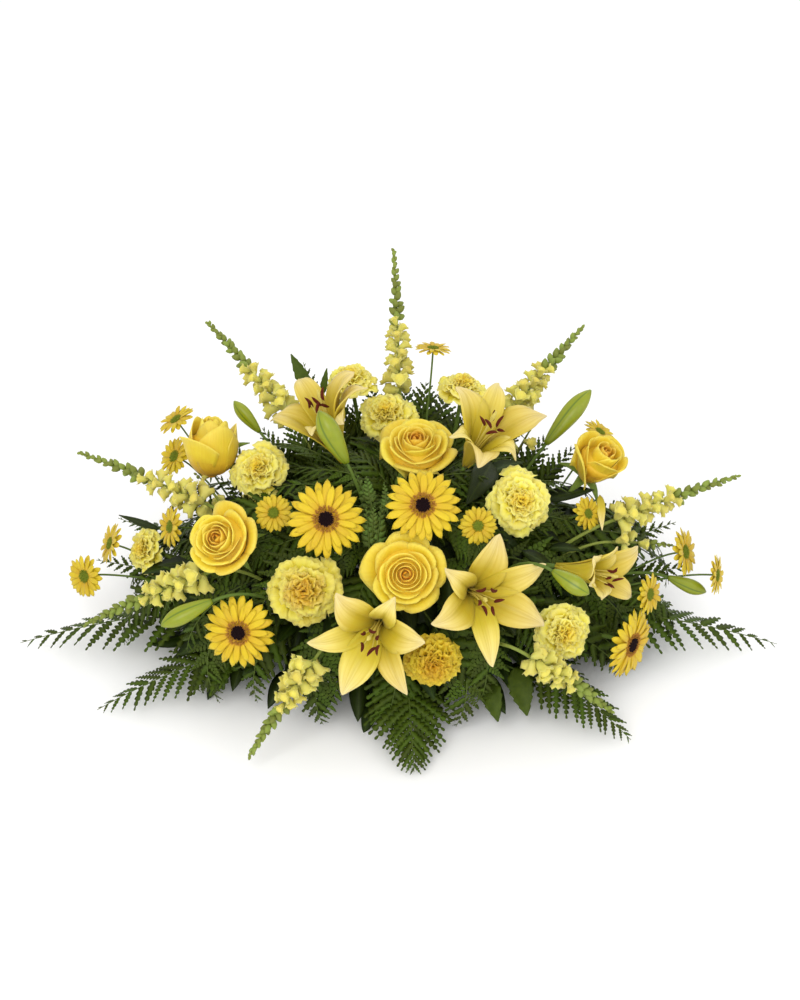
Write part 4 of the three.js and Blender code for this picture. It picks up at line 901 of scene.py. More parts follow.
def bud_finish(name, base, dark):
    """A closed bud: yellow green with painted shade as dark lines in its grooves, greener towards its foot.
    """
    graph, base, dark = new_finish(name, base, dark)
    _, across, along, tint, _ = marks_of(graph)
    patches = use_group(graph, "Mottle", Scale=120.0)
    # Painted shade: dark lines along three of the bud's grooves
    groove = graph.blend(graph.math("PINGPONG", across * 3.0, 0.5), 1.0, 0.0, 0.0, 0.09)
    foot = graph.blend(along, 0.55, 0.0, 0.0, 0.4)
    tip = graph.blend(along, 0.0, 0.5, 0.75, 1.0)
    shade = graph.math("MAXIMUM", graph.math("MAXIMUM", foot, tip), patches * 0.25)
    colour = graph.mix(graph.math("MAXIMUM", shade, groove), base, dark)
    colour = varied(graph, colour, tint, Value=(0.94, 1.06))
    roughness = graph.blend(patches, 0.34, 0.44)
    principled(graph, colour, roughness, patches, 0.2, 0.0006, Subsurface_Weight=0.08, Subsurface_Scale=0.003)


def leaf_finish(name, base, vein, roughness, bump, veined):
    """Leaf skin: deep green with soft patches, and paler veins on a broad leaf."""
    graph, base, vein = new_finish(name, base, vein)
    _, across, along, tint, _ = marks_of(graph)
    patches = use_group(graph, "Mottle", Scale=140.0)
    fine = use_group(graph, "Mottle", Scale=900.0)
    colour = graph.mix(patches * 0.45, base, vein)
    height = fine + patches
    if veined:
        off = graph.math("ABSOLUTE", 0.5 - across)
        middle = graph.blend(off, 0.8, 0.0, 0.02, 0.07)
        wave = graph.math("PINGPONG", along * 13.0 + off * -9.0, 0.5)
        veins = graph.blend(wave, 0.4, 0.0, 0.0, 0.12)
        colour = graph.mix(graph.math("MAXIMUM", middle, veins), colour, vein)
        height = fine - veins * 0.8
    colour = varied(graph, colour, tint, Hue=(0.49, 0.512), Value=(0.72, 1.22))
    rough = graph.blend(fine, roughness - 0.06, roughness + 0.08)
    principled(graph, colour, rough, height, bump, 0.0006, Specular_IOR_Level=0.18)


def grain_finish(name, base, dark, roughness, scale, bump):
    """Grainy stuff: discs, stamens, foam and moulded plastic, mottled between two colours."""
    graph, base, dark = new_finish(name, base, dark)
    coarse = use_group(graph, "Mottle", Scale=scale, Contrast=0.2)
    fine = use_group(graph, "Mottle", Scale=scale * 4.0, Contrast=0.2)
    tint = graph.add("ShaderNodeAttribute", out="Fac", attribute_name="tint")
    colour = graph.mix(tint * 0.35, graph.mix(coarse * 0.7, base, dark), dark)
    rough = graph.blend(coarse, roughness - 0.08, roughness + 0.08)
    principled(graph, colour, rough, fine * 0.5 + coarse, bump, 0.0008, Specular_IOR_Level=0.2)


# Heart colours: partly each flower's own deeper heart and throat, partly painted shade in the crevices
# between its petals
PETAL_LOOKS = {
    "rose petal": Petal("e8ce34", "f0dc58", "d98f12", "dba71e", streaks=0.25, glow=0.15),
    "gerbera ray": Petal("dfc016", "e3c826", "cf910c", "c29108", streaks=0.45, lines=9.0, heart_to=0.0),
    "carnation petal": Petal("f8e541", "fbf084", "efcc2e", "ebd332", streaks=0.25, glow=0.3),
    "golden carnation petal": Petal("e4d23c", "e9dc6e", "d7a01a", "d4ae24", heart_to=0.7, glow=0.3),
    "pompon petal": Petal("deb814", "e4c830", "ca940a", "c28e0a", heart_to=0.5, glow=0.15),
    "daisy ray": Petal(
        "d4b818", "d8c028", "c6940c", "bc8c0c", streaks=0.4, lines=6.0, heart_to=0.0, glow=0.15
    ),
    "lily tepal": Petal(
        "d8c232", "f2e2b0", "76701a", "c0a01c",
        streaks=0.55, lines=14.0, edge_from=0.4, heart_to=0.0, roughness=0.4, glow=0.08,
    ),
    "snapdragon petal": Petal(
        "dfd46e", "dfd058", "c2c562", "d0c142", streaks=0.25, lines=8.0, heart_to=0.0, glow=0.2
    ),
}
# The two colours, roughness, bump and whether it has veins
LEAF_LOOKS = {
    "fern leaflet": ("38490a", "576912", 0.5, 0.4, False),
    "broad leaf": ("1f2d06", "36460f", 0.42, 0.35, True),
    "stem green": ("526a28", "6f7f36", 0.48, 0.3, False),
    "calyx green": ("667b2c", "869a42", 0.48, 0.3, False),
    "spire green": ("778537", "989e4c", 0.48, 0.3, False),
}
# The two colours, roughness, how fine the grain is, and bump
GRAIN_LOOKS = {
    "dark disc": ("2a0f14", "120508", 0.85, 900.0, 0.8),
    "disc ring": ("c8913a", "9c642a", 0.7, 900.0, 0.6),
    "daisy disc": ("8f9c2c", "6b7a1e", 0.7, 900.0, 0.6),
    "anther": ("702812", "45140a", 0.7, 1200.0, 0.6),
    "filament": ("dccb6a", "c3b24f", 0.5, 600.0, 0.3),
    "floral foam": ("2c5a34", "1c4025", 0.92, 500.0, 0.9),
    "tray plastic": ("1f4a2c", "183d24", 0.45, 700.0, 0.25),
    "floor": ("ffffff", "f8f8f8", 0.8, 3.0, 0.0),
}
# Bud colours: yellow green, and a darker green for its foot and for the painted shade in its grooves
BUD_LOOK = ("8f9812", "536e14")


def finish(name):
    """The material of that name, made when it is first asked for."""
    if name in bpy.data.materials:
        return bpy.data.materials[name]
    if name in PETAL_LOOKS:
        petal_finish(name, PETAL_LOOKS[name])
    elif name in LEAF_LOOKS:
        leaf_finish(name, *LEAF_LOOKS[name])
    elif name == "bud green":
        bud_finish(name, *BUD_LOOK)
    else:
        grain_finish(name, *GRAIN_LOOKS[name])
    return bpy.data.materials[name]


# Shapes that the trees repeat, one long along x and facing z

# A snapdragon's open floret along x: place, radius, how far its lips stand out
FLORET_ROWS = [
    (0, 0.1, 0), (0.2, 0.18, 0), (0.46, 0.23, 0), (0.62, 0.27, 0.15), (0.78, 0.37, 0.7), (0.86, 0.44, 1),
    (0.82, 0.38, 0.85), (0.76, 0.29, 0.4), (0.9, 0.24, 0.1), (0.96, 0.09, 0),
]
# A cut leaflet: where its lobes end, a lobe's length and outline, and the rib as rows for a lens
LOBES_END = 0.75
LOBE_LENGTH = 0.235
LOBE_OUTLINE = [
    (0, -0.3), (0.25, -0.85), (0.62, -1), (0.92, -0.62), (1, 0), (0.88, 0.55), (0.5, 0.85), (0, 0.5)
]
LEAFLET_RIB = [
    (0, 0.01, 0.01), (0.45, 0.011, 0.011), (0.69, 0.014, 0.014), (0.79, 0.085, 0.07), (0.83, 0.05, 0.06),
    (0.87, 0.065, 0.045), (0.96, 0.022, 0.03), (1, 0.004, 0.004),
]


def net(rows, columns, finest=1.0):
    """Shares along (a column) and across from -1 to 1 (a row)."""
    along = np.linspace(0, 1, rows)[:, None] ** finest
    across = np.linspace(-1, 1, columns)[None, :]
    return along, across


def rounds(rows, sides):
    """Rings round z from rows of height and radius."""
    turns = round_turns(sides)
    return np.array([stacked(r * np.cos(turns), r * np.sin(turns), z) for z, r in rows])


def strap_petal(material, rows, width, tooth, furrow, arch, droop):
    """A ray of a gerbera or a daisy: a strap with two ridges and a toothed end."""
    pile = Pile()
    along, across = net(rows, 5)
    teeth = np.array([0.5, 1, 0, 1, 0.5])
    ridges = np.array([-0.6, 1, 0, 1, -0.6])
    half = width / 2 * (0.55 + 0.45 * np.sin(np.pi * (0.02 + 0.75 * along))) * (1 - 0.5 * along**8)
    x = along - tooth * teeth * along**8 - 0.05 * across**2 * along**6
    z = arch * np.sin(np.pi * along) - droop * along**2
    z = z + furrow * ridges * np.sin(np.pi * np.clip(along + 0.05, 0, 1))
    pile.sheet(stacked(x, across * half, z), 0.012, material)
    return pile.part("strap petal")


def ruffled_petal(material, rng, spread, ruffle, rows, columns):
    """A carnation's fan: a narrow claw that opens to a waved and toothed edge."""
    pile = Pile()
    along, across = net(rows, columns, 0.85)
    fan = across * (0.1 + spread * along**0.9)
    waves = np.sin(np.pi * rng.uniform(1.4, 2.1) * across + rng.uniform(0, 6.28))
    small = np.sin(np.pi * rng.uniform(3.6, 4.6) * across + rng.uniform(0, 6.28))
    teeth = np.arange(columns) % 2 * rng.uniform(0.4, 1, columns)
    reach = along * (1 - 0.08 * teeth * along**8) * (1 - 0.09 * across**2 + 0.05 * np.sin(3 * across))
    z = ruffle * (waves * along**2 + 0.5 * small * along**4) + 0.14 * along**2 - 0.22 * along**5
    x = reach * np.cos(fan)
    y = reach * np.sin(fan) * (0.55 + 0.45 * along)
    pile.sheet(stacked(x, y, z), 0.013, material)
    return pile.part("ruffled petal")


def peg(material, tall=1.0, blunt=0.55):
    """A tiny closed floret of a disc, standing along x."""
    pile = Pile()
    rings = rounds([(0, 0.3), (0.6 * tall, 0.42), (tall, 0.42 * blunt)], 5)
    pile.skin(rings[..., [2, 0, 1]], material)
    return pile.part("peg")


def lens(pile, rows, material, thick, fold=0.0, droop=0.0):
    """A thin leaf as a closed lens along x: rows of place and the two half widths."""
    rows = np.array(rows, float)
    x, left, right = rows[:, 0], rows[:, 1], rows[:, -1]
    z = -droop * x**2
    depth = thick * np.sin(np.pi * np.clip(0.1 + 0.8 * x, 0, 1))
    rings = np.stack([
        stacked(x, left, z + fold * left),
        stacked(x, 0, z + depth),
        stacked(x, -right, z + fold * right),
        stacked(x, 0, z - depth),
    ], axis=1)
    pile.skin(rings, material, across=np.array([1, 0.5, 0, 0.5]))


def fern_leaflet(material, pairs):
    """A cut leaflet of a frond: oval lobes in pairs along a thin rib, which run together in its tip."""
    pile = Pile()
    for k in range(pairs * 2):
        sign = 1 if k % 2 else -1
        share = (k + 0.5) / (pairs * 2)
        at = 0.02 + (LOBES_END - 0.02) * share
        length = LOBE_LENGTH * min(1, 0.7 + 1.8 * share) * (1.12 - share) ** 0.6
        half = 0.43 * LOBES_END / pairs
        lean = 0.6 + 0.25 * share
        reach = vec(math.sin(lean), sign * math.cos(lean), -0.1)
        wide = vec(math.cos(lean), -sign * math.sin(lean), 0)
        shape = np.array([vec(at, 0, 0) + reach * length * x + wide * half * y for x, y in LOBE_OUTLINE])
        shape[:, 2] -= 0.1 * shape[:, 0] ** 2
        pile.pillow(shape if sign > 0 else shape[::-1], 0.016, material)
    lens(pile, LEAFLET_RIB, material, 0.01, droop=0.1)
    return pile.part("fern leaflet")


def toothed_leaflet(material, half, teeth, notch=0.66):
    """A leaflet whose lobes have run together: a pointed blade with round teeth along both edges."""
    pile = Pile()
    rows = [(0, 0.012, 0.012)]
    for k in range(teeth):
        share = (k + 0.5) / teeth
        swell = half * math.sin(math.pi * (0.16 + 0.8 * share**0.85)) ** 0.7 * (1 - 0.5 * share**3)
        shape = ((0.08, notch), (0.42, 0.92), (0.84, 1.0))
        rows += [((k + at) / teeth, swell * size, swell * (size + 0.05) * 0.96) for at, size in shape]
    rows += [(1, 0.004, 0.004)]
    lens(pile, rows, material, 0.012, fold=0.14, droop=0.12)
    return pile.part("toothed leaflet")


def plain_leaf(material, half):
    """A smooth oval leaf with a folded middle and a pointed end."""
    pile = Pile()
    places = np.linspace(0, 0.985, 9)
    rows = [(x, half * math.sin(math.pi * min(1, x**0.8 + 0.02)) ** 0.8 + 0.004) for x in places]
    lens(pile, rows, material, 0.014, fold=0.2, droop=0.16)
    return pile.part("plain leaf")


def floret_shapes():
    """A snapdragon's open floret, its calyx and a closed bud, along x with the upper lip towards z."""
    turns = round_turns(14)
    upper = np.cos(turns)
    # Two lobes above and three below
    below = np.abs(np.cos(1.5 * (turns - np.pi))) ** 0.6
    lobes = np.where(upper > -0.1, np.abs(np.sin(turns)) ** 0.6, below)
    rings = []
    for x, radius, lip in FLORET_ROWS:
        r = radius * (1 + lip * (0.55 * lobes - 0.4))
        back = x - lip * (0.16 * np.clip(upper, 0, 1) - 0.1 * np.clip(-upper, 0, 1))
        back = back + 0.1 * lip * np.cos(7 * turns)
        rings.append(stacked(back, r * np.sin(-turns) * 1.05, r * upper * 1.1))
    floret = Pile()
    floret.skin(np.array(rings), "snapdragon petal")

    def closed(rows, name):
        pile = Pile()
        pile.skin(rounds(rows, 6)[..., [2, 1, 0]] * (1, -1, 1), "spire green")
        return pile.part(name)

    calyx = closed([(-0.02, 0.05), (0.08, 0.14), (0.22, 0.2), (0.2, 0.12)], "calyx")
    bud = closed([(0, 0.12), (0.22, 0.3), (0.55, 0.33), (0.86, 0.2), (1.02, 0.05)], "bud")
    return floret.part("floret"), calyx, bud


# Flowers

def rose_petals(pile, place, radius, tall, opening, count, rng):
    """Cupped petals on a golden spiral: tight and upright in the heart, wide and rolled back at the rim."""

    def rim_at(share, opened=opening):
        return radius * (0.02 + (0.74 + 0.2 * opened) * share**1.15)

    def top_at(share, opened=opening):
        return radius * tall * (0.84 + 0.22 * share - (0.2 + 0.4 * opened) * share**2)

    def narrow(z):
        return 1.5 - 0.9 * np.clip(z / (radius * tall), 0, 1) if closed else 1.0

    closed = opening < ROSE_BUD
    # Under the heart's petal edges the whorls are packed tight
    rows = [(0.04 * radius, 0.08 * radius), (top_at(0.6) * 0.4, rim_at(0.6) * 0.9)]
    for share in np.linspace(0.72, 0.02, 8):
        rows.append((top_at(share) * (0.58 + 0.26 * (1 - share)), rim_at(share) * 0.97))
    rings = rounds([(z, r * narrow(z)) for z, r in rows], 16)
    pile.skin(put(rings, place), "rose petal", 0.5, 0.3)

    along, across = net(10, 17, 0.85)
    steps = np.linspace(0, 1, 41)
    for k in range(count):
        share = (k + 0.5) / count
        # The most closed rose has one outer petal that is open already, in front
        opened = 0.85 if closed and k == count - 3 else opening
        # A petal leaves its foot at one angle above the flat, rises and ends at another
        leave = 78 - 58 * share
        end = 112 - 34 * share - 88 * opened * share**1.7
        angle = np.radians(leave * (1 - steps) ** 2 + 2 * 96 * steps * (1 - steps) + end * steps**2)
        run = np.concatenate([[0], np.cumsum(np.cos(angle[:-1]))]) / 40
        rise = np.concatenate([[0], np.cumsum(np.sin(angle[:-1]))]) / 40
        rim = rim_at(share, opened)
        length = top_at(share, opened) / rise[-1]
        root = max(rim - run[-1] * length, radius * (0.01 + 0.06 * share))

        side = np.abs(across)
        roll = np.clip((share - 0.4) / 0.6, 0, 1)
        point = (0.34 * share**2.5 + 0.3 * (1 - opening) ** 2) * (1 - side) ** 1.5
        reach = along * (1 - (0.34 + 0.08 * roll) * side ** (2.4 - 1.1 * roll) + point)
        if closed:
            roll = 0.35 * roll
            reach = along * (1 - 0.2 * side**2 - 0.06 * side)
        r = root + np.interp(reach, steps, run) * length
        z = np.interp(reach, steps, rise) * length
        r = r + radius * roll * (0.06 * side**2.5 * along**3 + 0.05 * along**8)
        z = z - radius * roll * (0.26 * side**2.5 * along**3 + 0.08 * along**8)
        z = z + radius * 0.025 * roll * np.sin(4 * across + rng.uniform(0, 6.28)) * along**3
        r = r + 0.12 * rim * across * along * (1 - 0.4 * share)
        r = r * (1 + 0.02 * np.sin(3 * across + rng.uniform(0, 6.28)) * along)
        r = r * narrow(z)
        half = 2.4 - 1.45 * share**0.6
        widen = 0.4 + 0.6 * np.sin(np.pi / 2 * np.clip(along / 0.6, 0, 1))
        whorl = (k + 10 - count) // 5
        turned = GOLDEN_TURN * k if whorl < 0 else math.pi / 5 * (2 * (k % 5) + whorl)
        turn = turned + half * widen * across
        points = stacked(r * np.cos(turn), r * np.sin(turn), z)
        thick = radius * np.linspace(0.03, 0.014, len(along))
        # The petal's inner side is its face, so its columns run clockwise
        pile.sheet(put(points[:, ::-1], place), thick, "rose petal", rng.uniform(), share)


def sepals(pile, place, radius, count, length):
    """Narrow green sepals that lie back under a rose, and the cup that they stand on."""
    along, across = net(6, 3)
    for k in range(count):
        angle = 2 * math.pi * (k + 0.2) / count
        half = radius * 0.16 * (1 - along**1.6) + 0.3
        reach = radius * 0.1 + length * along
        z = -radius * 0.05 + length * (0.1 * np.sin(np.pi * along) - 0.25 * along**2)
        x = reach * math.cos(angle) - across * half * math.sin(angle)
        y = reach * math.sin(angle) + across * half * math.cos(angle)
        pile.sheet(put(stacked(x, y, z), place), 0.8, "calyx green")
    rows = [(-0.24, 0.06), (-0.18, 0.13), (-0.08, 0.17), (0.02, 0.16), (0.06, 0.08)]
    pile.skin(put(rounds([(z * radius, r * radius) for z, r in rows], 10), place), "calyx green")


# Shares of a tepal's reach and height, and its half width by half the flower's width, root to tip
LILY_ROWS = [
    (0.04, 0, 0.05), (0.12, 0.3, 0.11), (0.25, 0.6, 0.2), (0.43, 0.83, 0.255), (0.63, 0.95, 0.215),
    (0.81, 1, 0.125), (0.95, 1, 0.05), (1, 1, 0.004),
]


def lily_flower(pile, place, bloom, opening, rng):
    """Six tepals that open from a narrow throat to their tips, with stamens and a style."""
    radius = bloom.width / 2
    rows = 19
    line = smooth_line(LILY_ROWS, rows)
    across = np.linspace(-1, 1, 9)[None, :]
    share = np.linspace(0, 1, rows)[:, None]
    axis, foot = place[:3, 2], place[:3, 3]
    for k, (column, row, height, bow) in enumerate(LILY_TIPS[bloom.name]):
        inner = k % 2 == 0
        # The tip is where its sight line meets the plane at its height
        start, run = sight_line(column, row)
        away = start + run * ((height * radius - (start - foot) @ axis) / (run @ axis)) - foot
        right, ahead = away @ place[:3, 0], away @ place[:3, 1]
        angle = math.atan2(ahead, right)
        out = np.hypot(right, ahead) * line[:, 0]
        length = math.hypot(out[-1], height * radius)
        rise = height * radius * line[:, 1] + bow * length * np.sin(math.pi * line[:, 0] ** 1.5)
        half = (radius * line[:, 2] * (1.08 if inner else 0.8))[:, None]
        ahead_out, ahead_rise = np.gradient(out), np.gradient(rise)
        step = np.hypot(ahead_out, ahead_rise)
        # Cupped by the throat, its edges bent back near the tip, with a groove along the middle
        groove = 0.22 * np.exp(-((across / 0.2) ** 2))
        offset = half * ((0.6 * (1 - share) - 0.55 * share**2) * across**2 - groove)
        ripple = np.sin(share * rng.uniform(9, 13) + rng.uniform(0, 6) + across * 1.5) * np.abs(across) ** 3
        offset = offset + radius * 0.032 * ripple * np.sin(np.pi * share) * (1 if inner else 0.5)
        offset = offset + rng.uniform(-0.3, 0.3) * across * share**2 * half
        r = out[:, None] - (ahead_rise / step)[:, None] * offset
        z = rise[:, None] + (ahead_out / step)[:, None] * offset
        bend = radius * rng.uniform(-0.1, 0.1) * share**2 * (1 - share) * 3
        side = half * across + bend
        x = r * math.cos(angle) - side * math.sin(angle)
        y = r * math.sin(angle) + side * math.cos(angle)
        thick = np.linspace(1.7, 0.7, rows)
        pile.sheet(put(stacked(x, y, z), place), thick, "lily tepal", rng.uniform(), 1.0)
    stamens(pile, place, radius, radius * (1.55 - 0.65 * opening), opening, rng)


def stamens(pile, place, radius, high, opening, rng):
    """Six curved filaments with long anthers at their ends, round a style with a swollen end."""
    for k in range(6):
        angle = math.radians(60 * k + 30) + rng.uniform(-0.3, 0.3)
        out = vec(math.cos(angle), math.sin(angle), 0)
        spread = radius * (0.09 + 0.06 * opening) * rng.uniform(0.8, 1.2)
        tip = out * spread + vec(0, -radius * 0.04, high * rng.uniform(0.9, 1.08))
        root = out * radius * 0.05 + vec(0, 0, high * 0.1)
        path = smooth_line([root, out * spread * 0.4 + vec(0, 0, high * 0.55), tip], 8)
        pile.tube(put(path, place), np.linspace(1.0, 0.55, 8), "filament", 5)
        tangent = vec(-math.sin(angle), math.cos(angle), 0)
        lie = tangent * rng.uniform(-0.7, 0.7) + out * rng.uniform(0, 0.5)
        lie = unit(lie + vec(0, 0, rng.uniform(0.5, 1)))
        long = radius * 0.11
        bow = np.linspace(-1, 1, 7)[:, None]
        spine = tip + lie * bow * long + out * 0.3 * long * bow**2
        thick = radius * 0.027 * np.sqrt(1.02 - bow[:, 0] ** 2)
        pile.tube(put(spine, place), thick, "anther", 6, rng.uniform())
    lean = rng.uniform(-0.08, 0.08) * radius
    style = smooth_line([(0, 0, high * 0.1), (lean * 0.4, 1, high * 0.7), (lean, 2, high * 1.15)], 9)
    radii = [1.3, 1.2, 1.1, 1.1, 1.1, 1.2, 1.5, 2.8, 1.4]
    pile.tube(put(style, place), radii, "filament", 6)


def lily_bud(pile, foot, tip, width):
    """A long closed bud, three-cornered with a groove along each side."""
    length = np.linalg.norm(tip - foot)
    turns = round_turns(24)
    stations = [(0, 0.14), (0.14, 0.28), (0.38, 0.43), (0.6, 0.5), (0.78, 0.43), (0.92, 0.24), (1, 0.05)]
    grooves = 1 - 0.1 * np.abs(np.cos(1.5 * turns)) ** 10 - 0.04 * np.cos(3 * turns)
    rings = rounds([(z * length, r * width * grooves) for z, r in smooth_line(stations, 16)], 24)
    pile.skin(put(rings, flower_frame(foot, tip - foot)), "bud green")


# A lone leaf's arch along it and its waves, as shares of its length and half width, and its fold
LEAF_ARCH, LEAF_WAVE, LEAF_FOLD = 0.08, 0.1, 0.22
TOOTH_DEPTH = 0.22


def leaf_blade(pile, start, tip, half, material, tint, teeth):
    """A leaf that faces the viewer: pointed, folded along its middle, waved and arched."""
    rows = 13 if not teeth else 4 * teeth + 1
    along, across = net(rows, 7)
    reach = tip - start
    side = unit(np.cross(reach, TOWARD))
    normal = np.cross(side, unit(reach))
    outline = np.sin(np.pi * np.clip(along, 0, 1) ** 0.8) ** 0.75 * (1 - 0.25 * along)
    if teeth:
        saw = (np.arange(rows) % 4 / 4)[:, None]
        outline = outline * (1 - TOOTH_DEPTH * saw * (np.abs(across) > 0.9))
    width = half * np.maximum(outline, 0.035)
    rise = LEAF_ARCH * np.linalg.norm(reach) * np.sin(np.pi * along * 0.9)
    rise = rise + width * LEAF_FOLD * np.abs(across)
    rise = rise + LEAF_WAVE * half * np.sin(8 * along + 2 * across) * across**2
    points = start + reach * along[..., None]
    points = points + side * (width * across)[..., None] + normal * rise[..., None]
    pile.sheet(points, 0.7, material, tint)


def stem_root(foot):
    """Where a stem leaves the foam on its way to this foot."""
    return vec(foot[0] * 0.3, foot[1] * 0.2, 22 + foot[2] * 0.1)


def add_stem(pile, root, foot, axis, radius, material="stem green", end_share=0.85):
    """A stem that leaves its root towards the foot and meets it along the flower's axis."""
    root = stem_root(foot) if root is None else root
    span = np.linalg.norm(foot - root)
    grow(
        pile, "Stem", Finish=finish(material), Start=root, Leave=root + (foot - root) * 0.4,
        Arrive=foot - unit(axis) * span * 0.3, Foot=foot, Radius=radius, End_share=end_share,
    )


# Pieces

def all_blooms():
    """Every single flower with its kind and its place, for the stems."""
    kinds = {"rose": ROSES, "gerbera": GERBERAS, "carnation": CARNATIONS, "pompon": [POMPON]}
    return [(kind, bloom, bloom_frame(kind, bloom)) for kind, blooms in kinds.items() for bloom in blooms]


# Roses: radius as a share of the width, how far it is open, and height as a share of the radius
ROSE_SHAPES = {
    "rose_upper_left": (0.57, 0.06, 1.76), "rose_left": (0.57, 0.7, 1.2), "rose_top": (0.57, 0.9, 1.1),
    "rose_front": (0.52, 1.0, 1.05), "rose_upper_right": (0.57, 0.35, 1.45), "rose_back": (0.57, 1.0, 1.05),
}
# Roses that turn further in their place: facing to the right and up, how deep the foot lies, and spin
ROSE_FACINGS = {
    "rose_upper_left": (0.1, 0.97, 0.46, -24), "rose_upper_right": (0.42, 0.62, 0.3, 0),
    "rose_top": (0.03, 0.68, 0.3, 0), "rose_left": (-0.36, 0.26, 0.3, 0),
}
# A rose that is open less than this is a bud, and one open less than the second value has fewer petals
ROSE_BUD, ROSE_HALF_OPEN = 0.2, 0.5
FEWER_PETALS = 10


def rose_frame(bloom, spin):
    place = bloom_frame("rose", bloom, spin)
    if bloom.name in ROSE_FACINGS:
        right, up, depth, turned = ROSE_FACINGS[bloom.name]
        axis = facing(right, up)
        middle = place[:3, 3] + place[:3, 2] * bloom.width * 0.28
        place = flower_frame(middle - axis * bloom.width * depth, axis, spin + turned)
    return place


def make_roses(settings):
    for k, bloom in enumerate(ROSES):
        rng = np.random.default_rng(SEED + k)
        share, opening, tall = ROSE_SHAPES[bloom.name]
        count = settings.rose_petals - (FEWER_PETALS if opening < ROSE_HALF_OPEN else 0)
        pile = Pile()
        rose_petals(pile, rose_frame(bloom, 40 * k), bloom.width * share, tall, opening, count, rng)
        pile.piece(f"{bloom.name}_petals", "rose_petals", bloom.name)


def head(pile, place, petal, material, size, radii, heights, tilts, scales, **values):
    """Adds a spiral of petals to the pile. Each pair is for the heart and the rim, in shares of the size."""
    pairs = {"radius": (radii, size), "height": (heights, size), "tilt": (tilts, 1), "scale": (scales, size)}
    for name, ((inner, outer), whole) in pairs.items():
        values[f"Inner_{name}"] = float(whole * inner)
        values[f"Outer_{name}"] = float(whole * outer)
    grow(pile, "Spiral head", place, Petal=petal, Finish=finish(material), **values)


def rays(pile, place, ray, material, radius, root, whorls, uneven, seed):
    """Whorls of rays round a disc, each with its count, length, tilt, height and first turn."""
    for k, (count, length, tilt, height, start) in enumerate(whorls):
        head(
            pile, place, ray, material, radius, (root, root), (height, height), (tilt, tilt),
            (length, length), Count=count, Turn=2 * math.pi / count, Start=start, Uneven=uneven,
            First_layer=0.8, Seed=seed + k,
        )


def make_gerberas(settings):
    ray = strap_petal("gerbera ray", 7, 0.27, 0.05, 0.012, 0.05, 0.12)
    floret = peg("dark disc")
    fringe = peg("disc ring", tall=1.6, blunt=0.3)
    outer = settings.gerbera_rays
    for k, bloom in enumerate(GERBERAS):
        radius = bloom.width * 0.48
        place = bloom_frame("gerbera", bloom, 9 * k)
        pile = Pile()
        whorls = [(outer, 0.82, 0.05, 0.13, 0.0), (outer - 6, 0.66, 0.14, 0.16, math.pi / outer)]
        rays(pile, place, ray, "gerbera ray", radius, 0.17, whorls, 0.055, SEED + 10 * k)
        cup(pile, place, radius, 0.17)
        pile.piece(f"{bloom.name}_rays", "gerbera_rays", bloom.name)
        heart = Pile()
        dome(heart, place, radius * 0.3, radius * 0.14, radius * 0.06, "disc ring")
        dome(heart, place, radius * 0.19, radius * 0.16, radius * 0.06, "dark disc")
        head(
            heart, place, floret, "dark disc", radius, radii=(0, 0.18), heights=(0.205, 0.2),
            tilts=(1.5, 1.2), scales=(0.04, 0.045), Count=150, Crowding=0.5, Uneven=0.12, Seed=SEED + k,
        )
        head(
            heart, place, fringe, "disc ring", radius, radii=(0.2, 0.29), heights=(0.21, 0.19),
            tilts=(1.2, 0.3), scales=(0.035, 0.05), Count=110, Crowding=0.6, Uneven=0.12,
            Seed=SEED + 5 + k,
        )
        heart.piece(f"{bloom.name}_heart", "gerbera_disc", f"{bloom.name}_disc")
    forget(ray, floret, fringe)


def dome(pile, place, radius, low, high, material):
    """A low round cushion that a disc's florets stand on."""
    rows = [(-0.3, 0.7), (0, 1), (0.5, 0.86), (0.85, 0.52), (1, 0.12)]
    pile.skin(put(rounds([(low + z * high, r * radius) for z, r in rows], 16), place), material)


def cup(pile, place, radius, share):
    """The green cup under a flower, narrowing to its stem."""
    rows = [(-0.1, 0.3), (-0.04, 0.75), (0.06, 1.05), (0.13, 1.2), (0.14, 0.6)]
    rings = rounds([(z * radius, r * share * radius) for z, r in rows], 12)
    pile.skin(put(rings, place), "calyx green")


def ruffled_head(pile, place, petals, material, radius, count, seed, shape):
    """A dense head of ruffled petals, with its variants in turn round one spiral."""
    spread, heights, tilts, scales, layers, uneven = shape
    for k, petal in enumerate(petals):
        head(
            pile, place, petal, material, radius, (0, spread), heights, tilts, scales,
            Count=count // len(petals), Turn=GOLDEN_TURN * len(petals), Start=GOLDEN_TURN * k,
            Offset=(k + 0.5) / len(petals), First_layer=layers[0], Last_layer=layers[1],
            Uneven=uneven, Seed=seed + k,
        )


# Heads of ruffled petals: spread, then heights, tilts, scales and layers from heart to rim, and unevenness
CARNATION_HEART = (0.24, (0.26, 0.24), (1.5, 0.5), (0.56, 0.56), (0.0, 0.7), 0.16)
CARNATION_RIM = (0.16, (0.26, 0.12), (0.5, 0.02), (0.76, 0.92), (0.75, 1.0), 0.13)
POMPON_HEAD = (0.16, (0.28, 0.15), (1.5, -0.1), (0.66, 0.86), (0.0, 1.0), 0.09)


